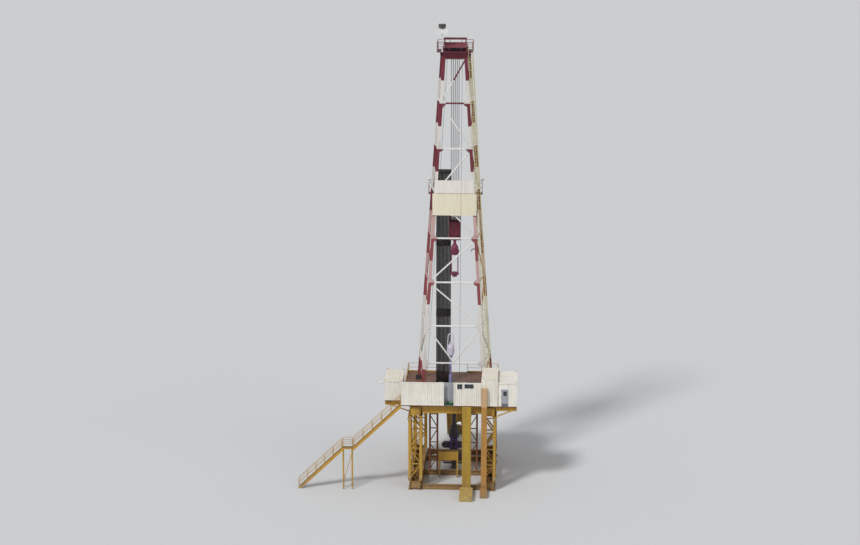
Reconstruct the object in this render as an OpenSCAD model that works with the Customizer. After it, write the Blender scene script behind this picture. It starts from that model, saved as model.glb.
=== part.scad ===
// Land drilling rig at half size: open braced mast, racked pipe, drill floor and box substructure.
// Millimetres. The origin is the well centre at ground level, +Z up, +Y toward the pipe ramp,
// +X to the right when the rig is seen from behind the drawworks.

/* [Substructure] */
// Height of the drill floor above the ground
floor_z = 5250; // [4900:10:5600]
// Distance from the well centre to the inner face of each side box
box_in = 1750; // [1650:10:1900]
// Width of each side box
box_w = 800; // [700:10:900]
// Height of the base boxes on the ground
base_h = 600; // [500:10:700]
// Depth of the floor boxes under the deck
floor_box_h = 700; // [600:10:800]
// Distance from the well centre to the rear end of the substructure
sub_rear = 3850; // [3700:10:4000]
// Distance from the well centre to the front end of the substructure
sub_front = 2700; // [2600:10:2900]
// Size of the upright H columns of the leg towers
column_s = 150; // [120:5:180]
// Length of each leg tower along the box
tower_l = 800; // [700:10:900]
// Diameter of the bracing bars in the towers
tower_brace_d = 70; // [50:5:90]
// Diameter of the long side braces
side_brace_d = 110; // [80:5:130]
// Flange width of the box girders
girder_w = 200; // [160:5:240]

/* [Drill floor] */
// Thickness of the deck
deck_t = 60; // [40:5:80]
// Half width of the deck on the left
deck_left = 2950; // [2800:10:3100]
// Half width of the deck on the right
deck_right = 2650; // [2560:10:2680]
// Height of the wind walls
wall_h = 1375; // [1200:5:1500]
// Depth of one rib of the wall sheeting
rib_d = 22; // [12:1:35]
// Spacing of the wall ribs
rib_pitch = 110; // [80:5:150]
// Width of the gap between the two rear wind walls
recess_w = 560; // [480:10:600]
// Left edge of that gap, measured from the well centre
recess_left = 465; // [440:5:480]
// Height of the handrails
rail_h = 550; // [500:10:600]
// Diameter of the handrail tubes
rail_d = 26; // [20:1:32]
// Bore of the rotary table
rotary_bore = 350; // [300:10:400]

/* [Mast] */
// Half width of the rear face between leg centres at the floor
rear_foot_x = 1820; // [1760:10:1900]
// Half width of the rear face between leg centres at the top
rear_top_x = 625; // [600:5:680]
// Half depth of the mast at the floor
foot_y = 1300; // [1250:10:1350]
// Half depth of the mast at the top
top_y = 550; // [530:5:580]
// How much wider than the rear legs the front legs stand at the floor
splay = 380; // [300:10:420]
// Size of the mast legs
leg_s = 180; // [160:5:190]
// Diameter of the diagonal bars
brace_d = 90; // [70:5:95]
// Width of the level bars
girt_s = 105; // [90:5:120]
// Clear height of the open bay under the lowest level bar
door_h = 1750; // [1650:10:1850]
// Height of the lowest braced bay
low_bay = 2250; // [2150:10:2350]
// Height of each bay above it
bay_h = 2625; // [2600:5:2650]
// Height of the shoes that the mast legs stand in
shoe_h = 260; // [220:10:300]

/* [Crown and travelling gear] */
// Depth of the crown beams
crown_beam_h = 300; // [260:10:320]
// Diameter of the rope sheaves
sheave_d = 636; // [600:4:660]
// Spacing of the sheaves on their pin
sheave_pitch = 110; // [104:2:114]
// Diameter of the drilling rope
rope_d = 18; // [14:1:20]
// Height of the travelling block's sheave pin above the ground
block_pin_z = 15300; // [15200:10:15400]
// Width of the travelling block
block_w = 670; // [660:2:680]
// Distance from the fast rope's sheave to the middle of the crown
fast_x = 410; // [405:5:420]

/* [Racking board] */
// Height of the racking board above the ground
board_z = 16800; // [16700:10:16900]
// Half width of the board
board_x = 1600; // [1550:10:1650]
// Height of the weather panel on the rear legs
shelter_h = 2050; // [1900:10:2100]
// Diameter of a stand of drill pipe
pipe_d = 64; // [56:2:66]
// Spacing of the racked stands
pipe_pitch = 80; // [76:1:84]
// Height of the racked stands above the board
stand_over = 1450; // [1350:10:1550]

/* [Cabins] */
// Width of the doghouse
dog_w = 1060; // [1000:10:1100]
// Length of the doghouse
dog_l = 2300; // [2200:10:2400]
// Height of the doghouse walls
dog_h = 1375; // [1300:5:1400]
// Thickness of the cabin walls
cabin_t = 50; // [40:2:60]
// Width of the cabin door openings
door_w = 400; // [360:10:420]
// Height of the cabin door openings
door_open_h = 1030; // [1000:10:1050]
// Width of the left cabin
left_cabin_w = 1000; // [950:10:1050]
// Length of the left cabin
left_cabin_l = 2300; // [2200:10:2400]
// Height of the left cabin walls
left_cabin_h = 1150; // [1120:10:1200]

/* [Access] */
// Width of the stairs
stair_w = 420; // [380:10:460]
// Height of one step
riser = 105; // [100:1:110]
// Depth of one step
going = 110; // [105:1:120]
// Width of the pipe ramp at the front
ramp_w = 1300; // [1200:10:1400]
// Width of the cable trough
trough_w = 520; // [480:10:560]

/* [Hidden] */

// Clearance between pieces that seat on each other
seat = 0.3;
stand_h = board_z - floor_z + stand_over;
// Joint and end sizes that follow from the driving dimensions
sub_l = sub_rear + sub_front;
box_mid = box_in + box_w / 2;
deck_under = floor_z - deck_t;
column_z0 = base_h;
column_z1 = deck_under - floor_box_h;
door_z = floor_z + door_h;
mast_top_z = door_z + low_bay + 6 * bay_h;
mast_h = mast_top_z - floor_z;
crown_top_z = mast_top_z + crown_beam_h;
crown_pin_z = crown_top_z + 120;
sheave_n = 5;
sheave_t = 80;
groove_d = 34;
rope_y = sheave_d / 2 - groove_d + rope_d / 2 + seat;

OCHRE = [0.80, 0.60, 0.20];
RUST_BROWN = [0.52, 0.28, 0.14];
CREAM = [0.88, 0.87, 0.82];
LEG_RED = [0.50, 0.12, 0.13];
WHITE = [0.90, 0.90, 0.90];
DARK = [0.16, 0.16, 0.18];
STEEL = [0.55, 0.57, 0.60];
WINCH_GREEN = [0.25, 0.48, 0.30];

// Straight blend between two values or points
function mix(a, b, t) = a + (b - a) * t;
// Height on the mast as a share of the whole, 0 at the floor and 1 at the top
function up(z) = (z - floor_z) / mast_h;
// Centre of the rear leg at a height, side -1 on the left and 1 on the right
function rear(side, z) = [
    side * mix(rear_foot_x, rear_top_x, up(z)),
    -mix(foot_y, top_y, up(z)),
    z
];
// Centre of the front leg at the same height, in one plane with the rear leg
function front(side, z) = [
    side * (abs(rear(1, z)[0]) + splay * mix(foot_y, top_y, up(z)) / foot_y),
    mix(foot_y, top_y, up(z)),
    z
];
// Height of each level bar
function girt_z(i) = i == 0 ? door_z : door_z + low_bay + (i - 1) * bay_h;
girt_n = 8;
// How far the diagonals start above or below a level bar
bar_step = 60;
// Height of the level bar's centre, the top one under the crown beams
function bar_z(i) = girt_z(i) - (i == girt_n - 1 ? bar_step : 0);
// Angle by which the rear face leans forward
face_lean = atan((foot_y - top_y) / mast_h);

// Bar from one point to another, with a few flat sides
module bar(a, b, d, sides = 6) {
    v = b - a;
    l = norm(v);
    translate(a)
        rotate([0, acos(v[2] / l), atan2(v[1], v[0])])
            cylinder(h = l, d = d, $fn = sides);
}

// Outline of an I section standing on its lower flange
module i_outline(w, h, flange, web) {
    translate([-w / 2, 0])
        square([w, flange]);
    translate([-w / 2, h - flange])
        square([w, flange]);
    translate([-web / 2, 0])
        square([web, h]);
}

// I beam along Y from the origin
module beam_y(l, w, h) {
    translate([0, l, 0])
        rotate([90, 0, 0])
            linear_extrude(l)
                i_outline(w, h, h * 0.06 + 4, w * 0.07 + 4);
}

// I beam along X from the origin
module beam_x(l, w, h) {
    rotate([90, 0, 90])
        linear_extrude(l)
            i_outline(w, h, h * 0.06 + 4, w * 0.07 + 4);
}

// Flange and web thickness of an H column of a given size
function flange_t(s) = s * 0.13;
function web_t(s) = s * 0.1;

// Upright H column centred on the origin
module column(h, s) {
    linear_extrude(h)
        translate([0, -s / 2])
            i_outline(s, s, flange_t(s), web_t(s));
}

// Turns upright things so that they point along v and keep facing the same way
module along(v) {
    az = atan2(v[1], v[0]);
    rotate([0, acos(v[2] / norm(v)), az])
        rotate([0, 0, -az])
            children();
}

// Level ends for a leaning piece, by cutting it between two heights
module between_z(z0, z1) {
    intersection() {
        children();
        translate([-crown_top_z, -crown_top_z, z0])
            cube([2 * crown_top_z, 2 * crown_top_z, z1 - z0]);
    }
}

// One mast leg between two points at the cut heights
module mast_leg(a, b) {
    v = b - a;
    translate(a - v * 0.02)
        along(v)
            column(norm(v) * 1.04, leg_s);
}

// The space that a mast leg fills, with the seat clearance round it
module leg_space(side) {
    for (ends = [
        [rear(side, floor_z), rear(side, mast_top_z)],
        [front(side, floor_z), front(side, mast_top_z)]
    ]) {
        v = ends[1] - ends[0];
        translate(ends[0] - v * 0.02)
            along(v)
                translate([-leg_s / 2 - seat, -leg_s / 2 - seat, 0])
                    cube([leg_s + 2 * seat, leg_s + 2 * seat, norm(v) * 1.04]);
    }
}

// The slab that a rear leg's web fills, with the seat clearance, where the level bars end, and the
// space beyond it outward
module web_space(side, outward = 0) {
    a = rear(side, floor_z);
    v = rear(side, mast_top_z) - a;
    w = web_t(leg_s) + 2 * seat;
    translate(a - v * 0.02)
        along(v)
            translate([-w / 2 - (side < 0 ? outward : 0), -leg_s / 2, 0])
                cube([w + outward, leg_s, norm(v) * 1.04]);
}

// Sheet with upright trapezoid ribs on its rear face, standing on the origin and running along X
module ribbed_sheet(l, h, t) {
    n = floor((l - rib_pitch * 0.4) / rib_pitch);
    margin = (l - n * rib_pitch) / 2;
    ribs = [
        for (i = [0:n - 1], p = [[0.2, 0], [0.32, 1], [0.68, 1], [0.8, 0]])
            [margin + (i + p[0]) * rib_pitch, -p[1] * rib_d]
    ];
    linear_extrude(h)
        polygon(concat([[0, t], [0, 0]], ribs, [[l, 0], [l, t]]));
}

// One long box of two girders with cross members, standing on the origin's level
module side_box(side, h) {
    cross_n = 8;
    translate([side > 0 ? box_in : -box_in - box_w, -sub_rear, 0]) {
        for (x = [girder_w / 2, box_w - girder_w / 2])
            translate([x, 0, 0])
                beam_y(sub_l, girder_w, h);
        for (i = [0:cross_n])
            translate([girder_w / 2, 90 + i * (sub_l - 180) / cross_n, h * 0.15])
                beam_x(box_w - girder_w, 100, h * 0.7);
    }
}

module base_boxes() {
    color(OCHRE)
        for (side = [-1, 1])
            side_box(side, base_h);
}

module floor_boxes() {
    color(OCHRE)
        for (side = [-1, 1])
            translate([0, 0, column_z1])
                side_box(side, floor_box_h);
}

// Places along Y of the beams that tie the two sides together
base_tie_ys = [-sub_rear + 200, -1200, 1300, sub_front - 200];
floor_tie_ys = [-sub_rear + 200, -2450, -1200, -620, 620, 1300, sub_front - 150];
base_tie_h = 300;
floor_tie_h = 480;
tie_w = 160;

module base_cross_beams() {
    color(OCHRE)
        for (y = base_tie_ys)
            translate([-box_in + seat, y, 0])
                beam_x(2 * (box_in - seat), tie_w, base_tie_h);
}

module floor_beams() {
    color(OCHRE)
        for (y = floor_tie_ys)
            translate([-box_in + seat, y, deck_under - floor_tie_h])
                beam_x(2 * (box_in - seat), tie_w, floor_tie_h);
}

// Braced tower of four H columns between the base box and the floor box
module leg_tower(x0, y0) {
    bays = 4;
    h = column_z1 - column_z0;
    x1 = x0 + box_w - column_s;
    y1 = y0 + tower_l - column_s;
    translate([column_s / 2, column_s / 2, column_z0]) {
        for (x = [x0, x1], y = [y0, y1])
            translate([x, y, 0])
                column(h, column_s);
        for (i = [0:bays - 1]) {
            z0 = i * h / bays;
            z1 = (i + 1) * h / bays;
            flip = i % 2;
            for (y = [y0, y1])
                bar([flip ? x1 : x0, y, z0 + 40], [flip ? x0 : x1, y, z1 - 40], tower_brace_d);
            for (x = [x0, x1])
                bar([x, flip ? y0 : y1, z0 + 40], [x, flip ? y1 : y0, z1 - 40], tower_brace_d);
            if (i > 0) {
                for (y = [y0, y1])
                    bar([x0, y, z0], [x1, y, z0], tower_brace_d);
                for (x = [x0, x1])
                    bar([x, y0, z0], [x, y1, z0], tower_brace_d);
            }
        }
    }
}

module both_towers(y0) {
    color(OCHRE)
        for (x0 = [-box_in - box_w, box_in])
            leg_tower(x0, y0);
}

rear_tower_y = -sub_rear + 60;
front_tower_y = sub_front - 60 - tower_l;

module rear_leg_towers() {
    both_towers(rear_tower_y);
}

module front_leg_towers() {
    both_towers(front_tower_y);
}

// Long braces over each outer girder, from the floor box down to the middle of the base box
module side_braces() {
    y0 = rear_tower_y + tower_l + 60;
    y1 = front_tower_y - 60;
    ym = (y0 + y1) / 2;
    color(OCHRE)
        for (side = [-1, 1]) {
            x = side * (box_in + box_w - girder_w / 2);
            between_z(column_z0, column_z1) {
                union() {
                    bar([x, y0, column_z1 + 20], [x, ym, column_z0 - 20], side_brace_d);
                    bar([x, y1, column_z1 + 20], [x, ym, column_z0 - 20], side_brace_d);
                }
            }
        }
}

// Brown ladder frames that stand inside the substructure, either side of the well
inner_x = 900;
inner_w = 560;
inner_s = 110;

module inner_frames() {
    y = base_tie_ys[1];
    z1 = deck_under - floor_tie_h;
    bays = 5;
    bay = (z1 - base_tie_h) / bays;
    color(RUST_BROWN)
        for (side = [-1, 1]) {
            xa = side * (inner_x + inner_s / 2);
            xb = side * (inner_x + inner_w - inner_s / 2);
            for (x = [xa, xb])
                translate([x, y, base_tie_h])
                    column(z1 - base_tie_h, inner_s);
            for (i = [0:bays - 1]) {
                z = base_tie_h + i * bay;
                bar([i % 2 ? xa : xb, y, z + 60], [i % 2 ? xb : xa, y, z + bay - 60], 60);
                if (i > 0)
                    bar([xa, y, z], [xb, y, z], 70);
            }
        }
}

// Blowout preventer stack over the well
bop_flange_d = 384;
bop_flange_h = 84;
bop_bore_d = 173;
bop_bolt_circle = 338;
bop_bolt_d = 26;
bop_bolts = 20;
bop_spool_d = 260;
bop_ram_z = [560, 1260];
bop_ram_h = 480;
bop_annular_z = 1960;
bop_annular_h = 760;
bop_annular_d = 640;
rotary_h = 320;
bop_top_z = bop_annular_z + bop_annular_h + 120;
nipple_top_z = deck_under - rotary_h - seat;
nipple_d = 384;
bell_h = 320;

module flange_pair(z) {
    translate([0, 0, z - bop_flange_h])
        cylinder(h = 2 * bop_flange_h, d = bop_flange_d, $fn = 64);
}

module ram_body(z) {
    bonnet_l = 1300;
    translate([-260, -190, z])
        cube([520, 380, bop_ram_h]);
    translate([-bonnet_l / 2, -150, z + 70])
        cube([bonnet_l, 300, bop_ram_h - 140]);
    translate([-bonnet_l / 2 - 90, 0, z + bop_ram_h / 2])
        rotate([0, 90, 0])
            cylinder(h = bonnet_l + 180, d = 230, $fn = 48);
}

module bop_stack() {
    color(DARK)
        difference() {
            union() {
                cylinder(h = bop_flange_h, d = bop_flange_d, $fn = 64);
                cylinder(h = bop_top_z, d = bop_spool_d, $fn = 64);
                flange_pair(bop_ram_z[0]);
                flange_pair((bop_ram_z[0] + bop_ram_h + bop_ram_z[1]) / 2);
                flange_pair((bop_ram_z[1] + bop_ram_h + bop_annular_z) / 2);
                for (z = bop_ram_z)
                    ram_body(z);
                translate([0, 0, bop_annular_z])
                    rotate_extrude($fn = 64)
                        polygon([
                            [0, 0], [bop_annular_d / 2 - 60, 0], [bop_annular_d / 2, 60],
                            [bop_annular_d / 2, bop_annular_h * 0.55],
                            [bop_annular_d / 2 - 90, bop_annular_h * 0.85],
                            [bop_annular_d / 2 - 130, bop_annular_h], [0, bop_annular_h]
                        ]);
                translate([-650, 0, 340])
                    rotate([0, 90, 0])
                        cylinder(h = 1300, d = 110, $fn = 32);
            }
            translate([0, 0, -10])
                cylinder(h = bop_top_z + 20, d = bop_bore_d, $fn = 64);
            for (i = [0:bop_bolts - 1])
                rotate([0, 0, i * 360 / bop_bolts])
                    translate([bop_bolt_circle / 2, 0, -10])
                        cylinder(h = bop_flange_h + 20, d = bop_bolt_d, $fn = 24);
        }
}

// Pipe from the stack up to the rotary table, with a wide bell at its top
module bell_nipple() {
    wall = 22;
    h = nipple_top_z - bop_top_z - seat;
    r0 = bop_bore_d / 2;
    r1 = nipple_d / 2 - wall;
    color(DARK)
        translate([0, 0, bop_top_z + seat])
            rotate_extrude($fn = 64)
                polygon([
                    [r0, 0], [r0 + wall, 0], [r0 + wall, h - bell_h - 120], [nipple_d / 2, h - bell_h],
                    [nipple_d / 2, h], [r1, h], [r1, h - bell_h + 10], [r0, h - bell_h - 110]
                ]);
}

// Yellow work stand in front of the stack, seen between the legs from behind
module bop_work_stand() {
    x0 = -850;
    l = 1150;
    w = 420;
    y0 = base_tie_ys[1] - tie_w / 2 - seat - w;
    z0 = 1100;
    h = 520;
    color(OCHRE)
        translate([x0, y0, 0]) {
            translate([0, 0, z0])
                cube([l, w, h]);
            for (x = [0, l - 90], y = [0, w - 90])
                translate([x, y, 0])
                    cube([90, 90, z0 + 10]);
        }
}

// Closed trough that carries the cables up the rear edge of the floor, with its foot on the ground
trough_x = 600;
trough_d = 300;
trough_foot_l = 1500;
trough_foot_w = 760;
trough_foot_h = 320;

module cable_trough() {
    y1 = -sub_rear - seat;
    color(OCHRE) {
        translate([trough_x, y1 - trough_d, 0])
            cube([trough_w, trough_d, deck_under - seat]);
        for (share = [0.3, 0.6, 0.9])
            translate([trough_x - 18, y1 - trough_d - 18, share * deck_under])
                cube([trough_w + 36, trough_d + 18, 70]);
        translate([trough_x - (trough_foot_w - trough_w) / 2, y1 - trough_d - trough_foot_l, 0])
            cube([trough_foot_w, trough_foot_l - seat, trough_foot_h]);
    }
}

// Narrow pipe chase beside the trough, up past the deck
chase_x = 1710;
chase_w = 330;
chase_d = 220;
chase_up = wall_h * 0.8;
chase_foot_l = 900;

module pipe_chase() {
    y1 = -sub_rear - 100 - seat;
    color(OCHRE) {
        translate([chase_x, y1 - chase_d, 0])
            cube([chase_w, chase_d, floor_z + chase_up]);
        translate([chase_x - 40, y1 - chase_d - chase_foot_l, 0])
            cube([chase_w + 80, chase_foot_l - seat, 260]);
    }
}

// Beams that carry the cabins beside the deck, with a knee brace back to the floor box
outrigger_h = 240;
deck_rear = sub_rear + 100;
deck_front = sub_front + 50;
dog_x = deck_right + 40;
dog_y = -deck_rear;
left_cabin_y = -3100;

module outrigger(side, y, reach) {
    x0 = box_in + box_w + seat;
    z0 = deck_under - outrigger_h;
    xs = side > 0 ? x0 : -reach;
    difference() {
        union() {
            translate([xs, y, z0])
                beam_x(reach - x0, 120, outrigger_h);
            bar([side * (x0 - 40), y, column_z1 + 70], [side * (reach - 260), y, z0 + 20], 80);
        }
        translate([-x0, y - 100, column_z1 - 200])
            cube([2 * x0, 200, floor_box_h + 200]);
    }
}

module side_outriggers() {
    color(OCHRE) {
        for (t = [0.06, 0.5, 0.94]) {
            outrigger(-1, left_cabin_y + t * left_cabin_l, deck_left + left_cabin_w);
            outrigger(1, dog_y + t * dog_l, dog_x + dog_w);
        }
    }
}

// Rotary table set into the deck over the well
rotary_x = 440;
rotary_y = 520;

module rotary_table() {
    color(DARK)
        difference() {
            union() {
                translate([-rotary_x, -rotary_y, deck_under - rotary_h])
                    cube([2 * rotary_x, 2 * rotary_y, rotary_h + deck_t]);
                translate([0, 0, floor_z - 1])
                    cylinder(h = 26, d = rotary_bore + 240, $fn = 64);
            }
            translate([0, 0, deck_under - rotary_h - 10])
                cylinder(h = rotary_h + deck_t + 60, d = rotary_bore, $fn = 64);
        }
}

module drill_floor() {
    color(RUST_BROWN)
        translate([0, 0, deck_under])
            difference() {
                translate([-deck_left, -deck_rear, 0])
                    cube([deck_left + deck_right, deck_rear + deck_front, deck_t]);
                translate([-rotary_x - seat, -rotary_y - seat, -5])
                    cube([2 * (rotary_x + seat), 2 * (rotary_y + seat), deck_t + 10]);
            }
}

// Rear wind walls of ribbed sheet, either side of a gap, with two windows in the right one
wall_t = 30;
bay_wall_x = 1700;
bay_wall_h = wall_h * 1.15;
window_a = [225, 250, 250];
window_b = [650, 475, 200];
window_top = 90;
pane_t = 8;

module rear_wall_left() {
    color(CREAM)
        translate([-deck_left, -deck_rear + rib_d, floor_z])
            ribbed_sheet(deck_left - recess_left, wall_h, wall_t);
}

// A window's place in the right wall: [distance from the wall's left end, width, height]
module window_hole(win, grow) {
    translate([win[0] - grow, -rib_d - 20, wall_h - window_top - win[2] - grow])
        cube([win[1] + 2 * grow, wall_t + rib_d + 40, win[2] + 2 * grow]);
}

module rear_wall_right() {
    x0 = -recess_left + recess_w;
    color(CREAM)
        translate([x0, -deck_rear + rib_d, floor_z]) {
            difference() {
                ribbed_sheet(bay_wall_x - x0, wall_h, wall_t);
                window_hole(window_a, 0);
                window_hole(window_b, 0);
            }
            translate([bay_wall_x - x0 + seat, 0, 0])
                ribbed_sheet(deck_right - bay_wall_x - seat, bay_wall_h, wall_t);
        }
}

module wall_windows() {
    color(STEEL)
        translate([-recess_left + recess_w, -deck_rear + rib_d, floor_z])
            for (win = [window_a, window_b])
                intersection() {
                    window_hole(win, -seat);
                    translate([0, wall_t / 2 - pane_t / 2, 0])
                        cube([bay_wall_x, pane_t, wall_h]);
                }
    color(STEEL)
        translate([dog_x + cabin_t / 2, dog_y + dog_window_y + seat, floor_z + dog_window_z + seat])
            cube([pane_t, dog_window_w - 2 * seat, dog_window_h - 2 * seat]);
}

// Flat canopy between the right wall's high bay and the mast leg, on two posts
canopy_t = 40;
canopy_front = -foot_y - 330;
canopy_post = 50;

module side_canopy() {
    x0 = bay_wall_x + 10;
    x1 = dog_x - roof_over - 10;
    y0 = -deck_rear;
    z = floor_z + bay_wall_h + seat;
    color(CREAM) {
        translate([x0, y0, z])
            cube([x1 - x0, canopy_front - y0, canopy_t]);
        for (x = [x0 + 20, x1 - canopy_post - 20])
            translate([x, canopy_front - canopy_post - 20, floor_z])
                cube([canopy_post, canopy_post, bay_wall_h + 10]);
    }
}

// Grey panel that closes the gap between the rear walls, set back from them
module recess_panel() {
    back = 280;
    color(STEEL)
        translate([-recess_left - 60, -deck_rear + back, floor_z])
            cube([recess_w + 120, 24, wall_h - 60]);
}

// Small air winch on the deck in the gap between the rear walls
winch_l = 420;
winch_d = 210;
winch_r = 90;

module air_winch() {
    drum_l = 200;
    axle_z = winch_r + 60;
    color(WINCH_GREEN)
        translate([-recess_left + (recess_w - winch_l) / 2, -deck_rear + 35, floor_z]) {
            cube([winch_l, winch_d, 25]);
            for (x = [30, 30 + drum_l + 20])
                translate([x, winch_d / 2, 20])
                    rotate([90, 0, 90])
                        linear_extrude(20) {
                            translate([0, axle_z - 20])
                                circle(winch_r, $fn = 40);
                            translate([-winch_r, 0])
                                square([2 * winch_r, axle_z - 20]);
                        }
            translate([45, winch_d / 2, axle_z])
                rotate([0, 90, 0])
                    cylinder(h = drum_l + 15, r = winch_r * 0.62, $fn = 40);
            translate([30 + drum_l + 35, winch_d / 2, axle_z])
                rotate([0, 90, 0])
                    cylinder(h = 120, r = winch_r * 0.75, $fn = 40);
        }
}

// Straight run of handrail: posts, a top rail and a middle rail, from one point to another
module handrail(a, b, post_gap = 1000) {
    l = norm(b - a);
    n = max(1, round(l / post_gap));
    up_z = [0, 0, 1];
    for (i = [0:n])
        bar(mix(a, b, i / n), mix(a, b, i / n) + up_z * rail_h, rail_d);
    for (h = [rail_h * 0.52, rail_h])
        bar(a + up_z * h, b + up_z * h, rail_d);
}

rail_in = 40;
rail_gap = rail_d + seat;
v_door_half = ramp_w / 2 + 60;
stair_y = -deck_rear + 60;

module floor_handrails() {
    z = floor_z;
    xl = -deck_left + rail_in;
    xr = deck_right - rail_in;
    yf = deck_front - rail_in;
    color(OCHRE) {
        handrail([xl, stair_y + stair_w + 60, z], [xl, left_cabin_y - 60, z]);
        handrail([xl, left_cabin_y + left_cabin_l + 60, z], [xl, yf, z]);
        handrail([xl + rail_gap, yf, z], [-v_door_half, yf, z]);
        handrail([xr, dog_y + dog_l + 60, z], [xr, yf, z]);
        handrail([xr - rail_gap, yf, z], [v_door_half, yf, z]);
    }
}

// Stair down the left side in two flights with a landing on posts between them
upper_n = 26;
landing_z = floor_z - upper_n * riser;
lower_n = round(landing_z / riser);
landing_l = 600;
stair_x0 = -deck_left - seat;
stair_x1 = stair_x0 - upper_n * going;
stair_x2 = stair_x1 - landing_l;
stringer_t = rail_d + 2;
tread_t = 14;
stringer_h = 190;

// One flight going down toward -X from the origin, n steps of the given rise: two stringers, each
// with its own handrail, and the treads between them
module flight(n, rise) {
    run = n * going;
    drop = n * rise;
    posts = round(n / 5);
    for (y = [0, stair_w - stringer_t]) {
        translate([0, y + stringer_t, 0])
            rotate([90, 0, 0])
                linear_extrude(stringer_t)
                    polygon([[0, 0], [-run, -drop], [-run, -drop - stringer_h], [0, -stringer_h]]);
        ym = y + stringer_t / 2;
        for (i = [0:posts]) {
            t = mix(0.02, 0.98, i / posts);
            p = [-run * t, ym, -drop * t - 10];
            bar(p, p + [0, 0, rail_h], rail_d);
        }
        for (h = [rail_h * 0.52, rail_h])
            bar([-run * 0.02, ym, h - drop * 0.02 - 10], [-run * 0.98, ym, h - drop * 0.98 - 10], rail_d);
    }
    for (i = [1:n - 1])
        translate([-i * going - 12, stringer_t + seat, -i * rise - tread_t])
            cube([going + 14, stair_w - 2 * (stringer_t + seat), tread_t]);
}

module upper_stair() {
    color(OCHRE)
        translate([stair_x0, stair_y, floor_z])
            flight(upper_n, riser);
}

module lower_stair() {
    color(OCHRE)
        between_z(0, floor_z)
            translate([stair_x2 - seat, stair_y, landing_z])
                flight(lower_n, landing_z / lower_n);
}

module stair_landing() {
    leg = 60;
    color(OCHRE)
        translate([stair_x2, stair_y, 0]) {
            translate([0, 0, landing_z - 50])
                cube([landing_l - seat, stair_w, 50]);
            for (x = [10, landing_l - leg - 10], y = [0, stair_w - leg])
                translate([x, y, 0])
                    cube([leg, leg, landing_z - 45]);
            for (y = [leg / 2, stair_w - leg / 2])
                bar([40, y, 400], [landing_l - 40, y, landing_z - 300], 40);
            for (y = [rail_d / 2, stair_w - rail_d / 2])
                handrail([20, y, landing_z], [landing_l - 20, y, landing_z]);
        }
}

// Pipe ramp from the front edge of the floor down to the ground
ramp_angle = 55;
ramp_t = 30;
ramp_rib = 160;

module v_door_ramp() {
    run = floor_z / tan(ramp_angle);
    l = norm([run, floor_z]);
    color(OCHRE)
        difference() {
            between_z(0, floor_z)
                translate([-ramp_w / 2, deck_front + seat, floor_z])
                    rotate([-ramp_angle, 0, 0])
                        translate([0, -100, 0]) {
                            translate([0, 0, -ramp_t])
                                cube([ramp_w, l + 300, ramp_t]);
                            for (x = [40, ramp_w / 2, ramp_w - 40])
                                translate([x, 120, -ramp_t - ramp_rib + 1])
                                    beam_y(l + 180, 80, ramp_rib);
                            for (x = [0, ramp_w - 30])
                                translate([x, 0, -1])
                                    cube([30, l + 300, 90]);
                        }
            translate([-ramp_w, 0, 0])
                cube([2 * ramp_w, deck_front + seat, floor_z + 10]);
        }
}

// Drawworks behind the mast: skid, gear housings and motors, with the rope drum between them
drum_y = -3050;
drum_rise = 700;
drum_z = floor_z + drum_rise;
drum_r = 300;
drum_l = 1100;
skid_h = 160;
skid_half_w = 430;
skid_half_l = 1500;
housing_w = 240;
motor_d = 420;
motor_l = 640;
motor_drop = 120;
motor_foot_l = 600;
motor_foot_w = 360;

module drawworks() {
    x1 = drum_l / 2 + 20;
    color(STEEL) {
        for (y = [drum_y - skid_half_w, drum_y + skid_half_w - 100])
            translate([-skid_half_l, y, floor_z])
                cube([2 * skid_half_l, 100, skid_h]);
        for (x = [100 - skid_half_l, -x1 - housing_w, x1 + housing_w - 100, skid_half_l - 200])
            translate([x, drum_y - skid_half_w + 90, floor_z + 20])
                cube([100, 2 * skid_half_w - 180, skid_h - 40]);
        for (side = [-1, 1]) {
            translate([side > 0 ? x1 : -x1 - housing_w, 0, 0])
                rotate([90, 0, 90])
                    linear_extrude(housing_w)
                        difference() {
                            hull() {
                                translate([drum_y, drum_z])
                                    circle(skid_half_w, $fn = 48);
                                translate([drum_y - skid_half_w, floor_z + skid_h])
                                    square([2 * skid_half_w, 60]);
                            }
                            translate([drum_y, drum_z])
                                circle(80 + seat, $fn = 48);
                        }
            motor_x = side * (x1 + housing_w) - (side > 0 ? 0 : motor_l);
            translate([motor_x, drum_y, drum_z - motor_drop])
                rotate([0, 90, 0])
                    cylinder(h = motor_l, d = motor_d, $fn = 48);
            foot_x = side > 0 ? x1 + housing_w : -x1 - housing_w - motor_foot_l;
            translate([foot_x, drum_y - motor_foot_w / 2, floor_z + skid_h - 1])
                cube([motor_foot_l, motor_foot_w, drum_rise - skid_h - motor_drop - motor_foot_w / 2]);
        }
    }
}

module drawworks_drum() {
    x1 = drum_l / 2;
    color(DARK)
        translate([0, drum_y, drum_z])
            rotate([0, 90, 0]) {
                translate([0, 0, -x1 - 120])
                    cylinder(h = drum_l + 240, r = 80, $fn = 48);
                translate([0, 0, -x1])
                    cylinder(h = drum_l, r = drum_r, $fn = 64);
                for (x = [-x1, x1 - 40])
                    translate([0, 0, x])
                        cylinder(h = 40, r = drum_r + 90, $fn = 64);
            }
}

// Cabin walls with a door opening; hollow, standing on the origin
module cabin_shell(w, l, h, t) {
    difference() {
        cube([w, l, h]);
        translate([t, t, -10])
            cube([w - 2 * t, l - 2 * t, h + 20]);
    }
}

dog_door_x = 170;
dog_window_w = 700;
dog_window_h = 450;
dog_window_z = 550;
dog_window_y = dog_l / 2 - dog_window_w / 2;
cabin_floor_t = deck_t;
roof_t = 50;
roof_over = 30;

// The door turns on two pins in front of its left edge
hinge_x = dog_x + dog_door_x;
hinge_out = 18;
hinge_r = 15;
hinge_pin_r = 8;
hinge_zs = [160, 780];
knuckle_h = 60;

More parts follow.
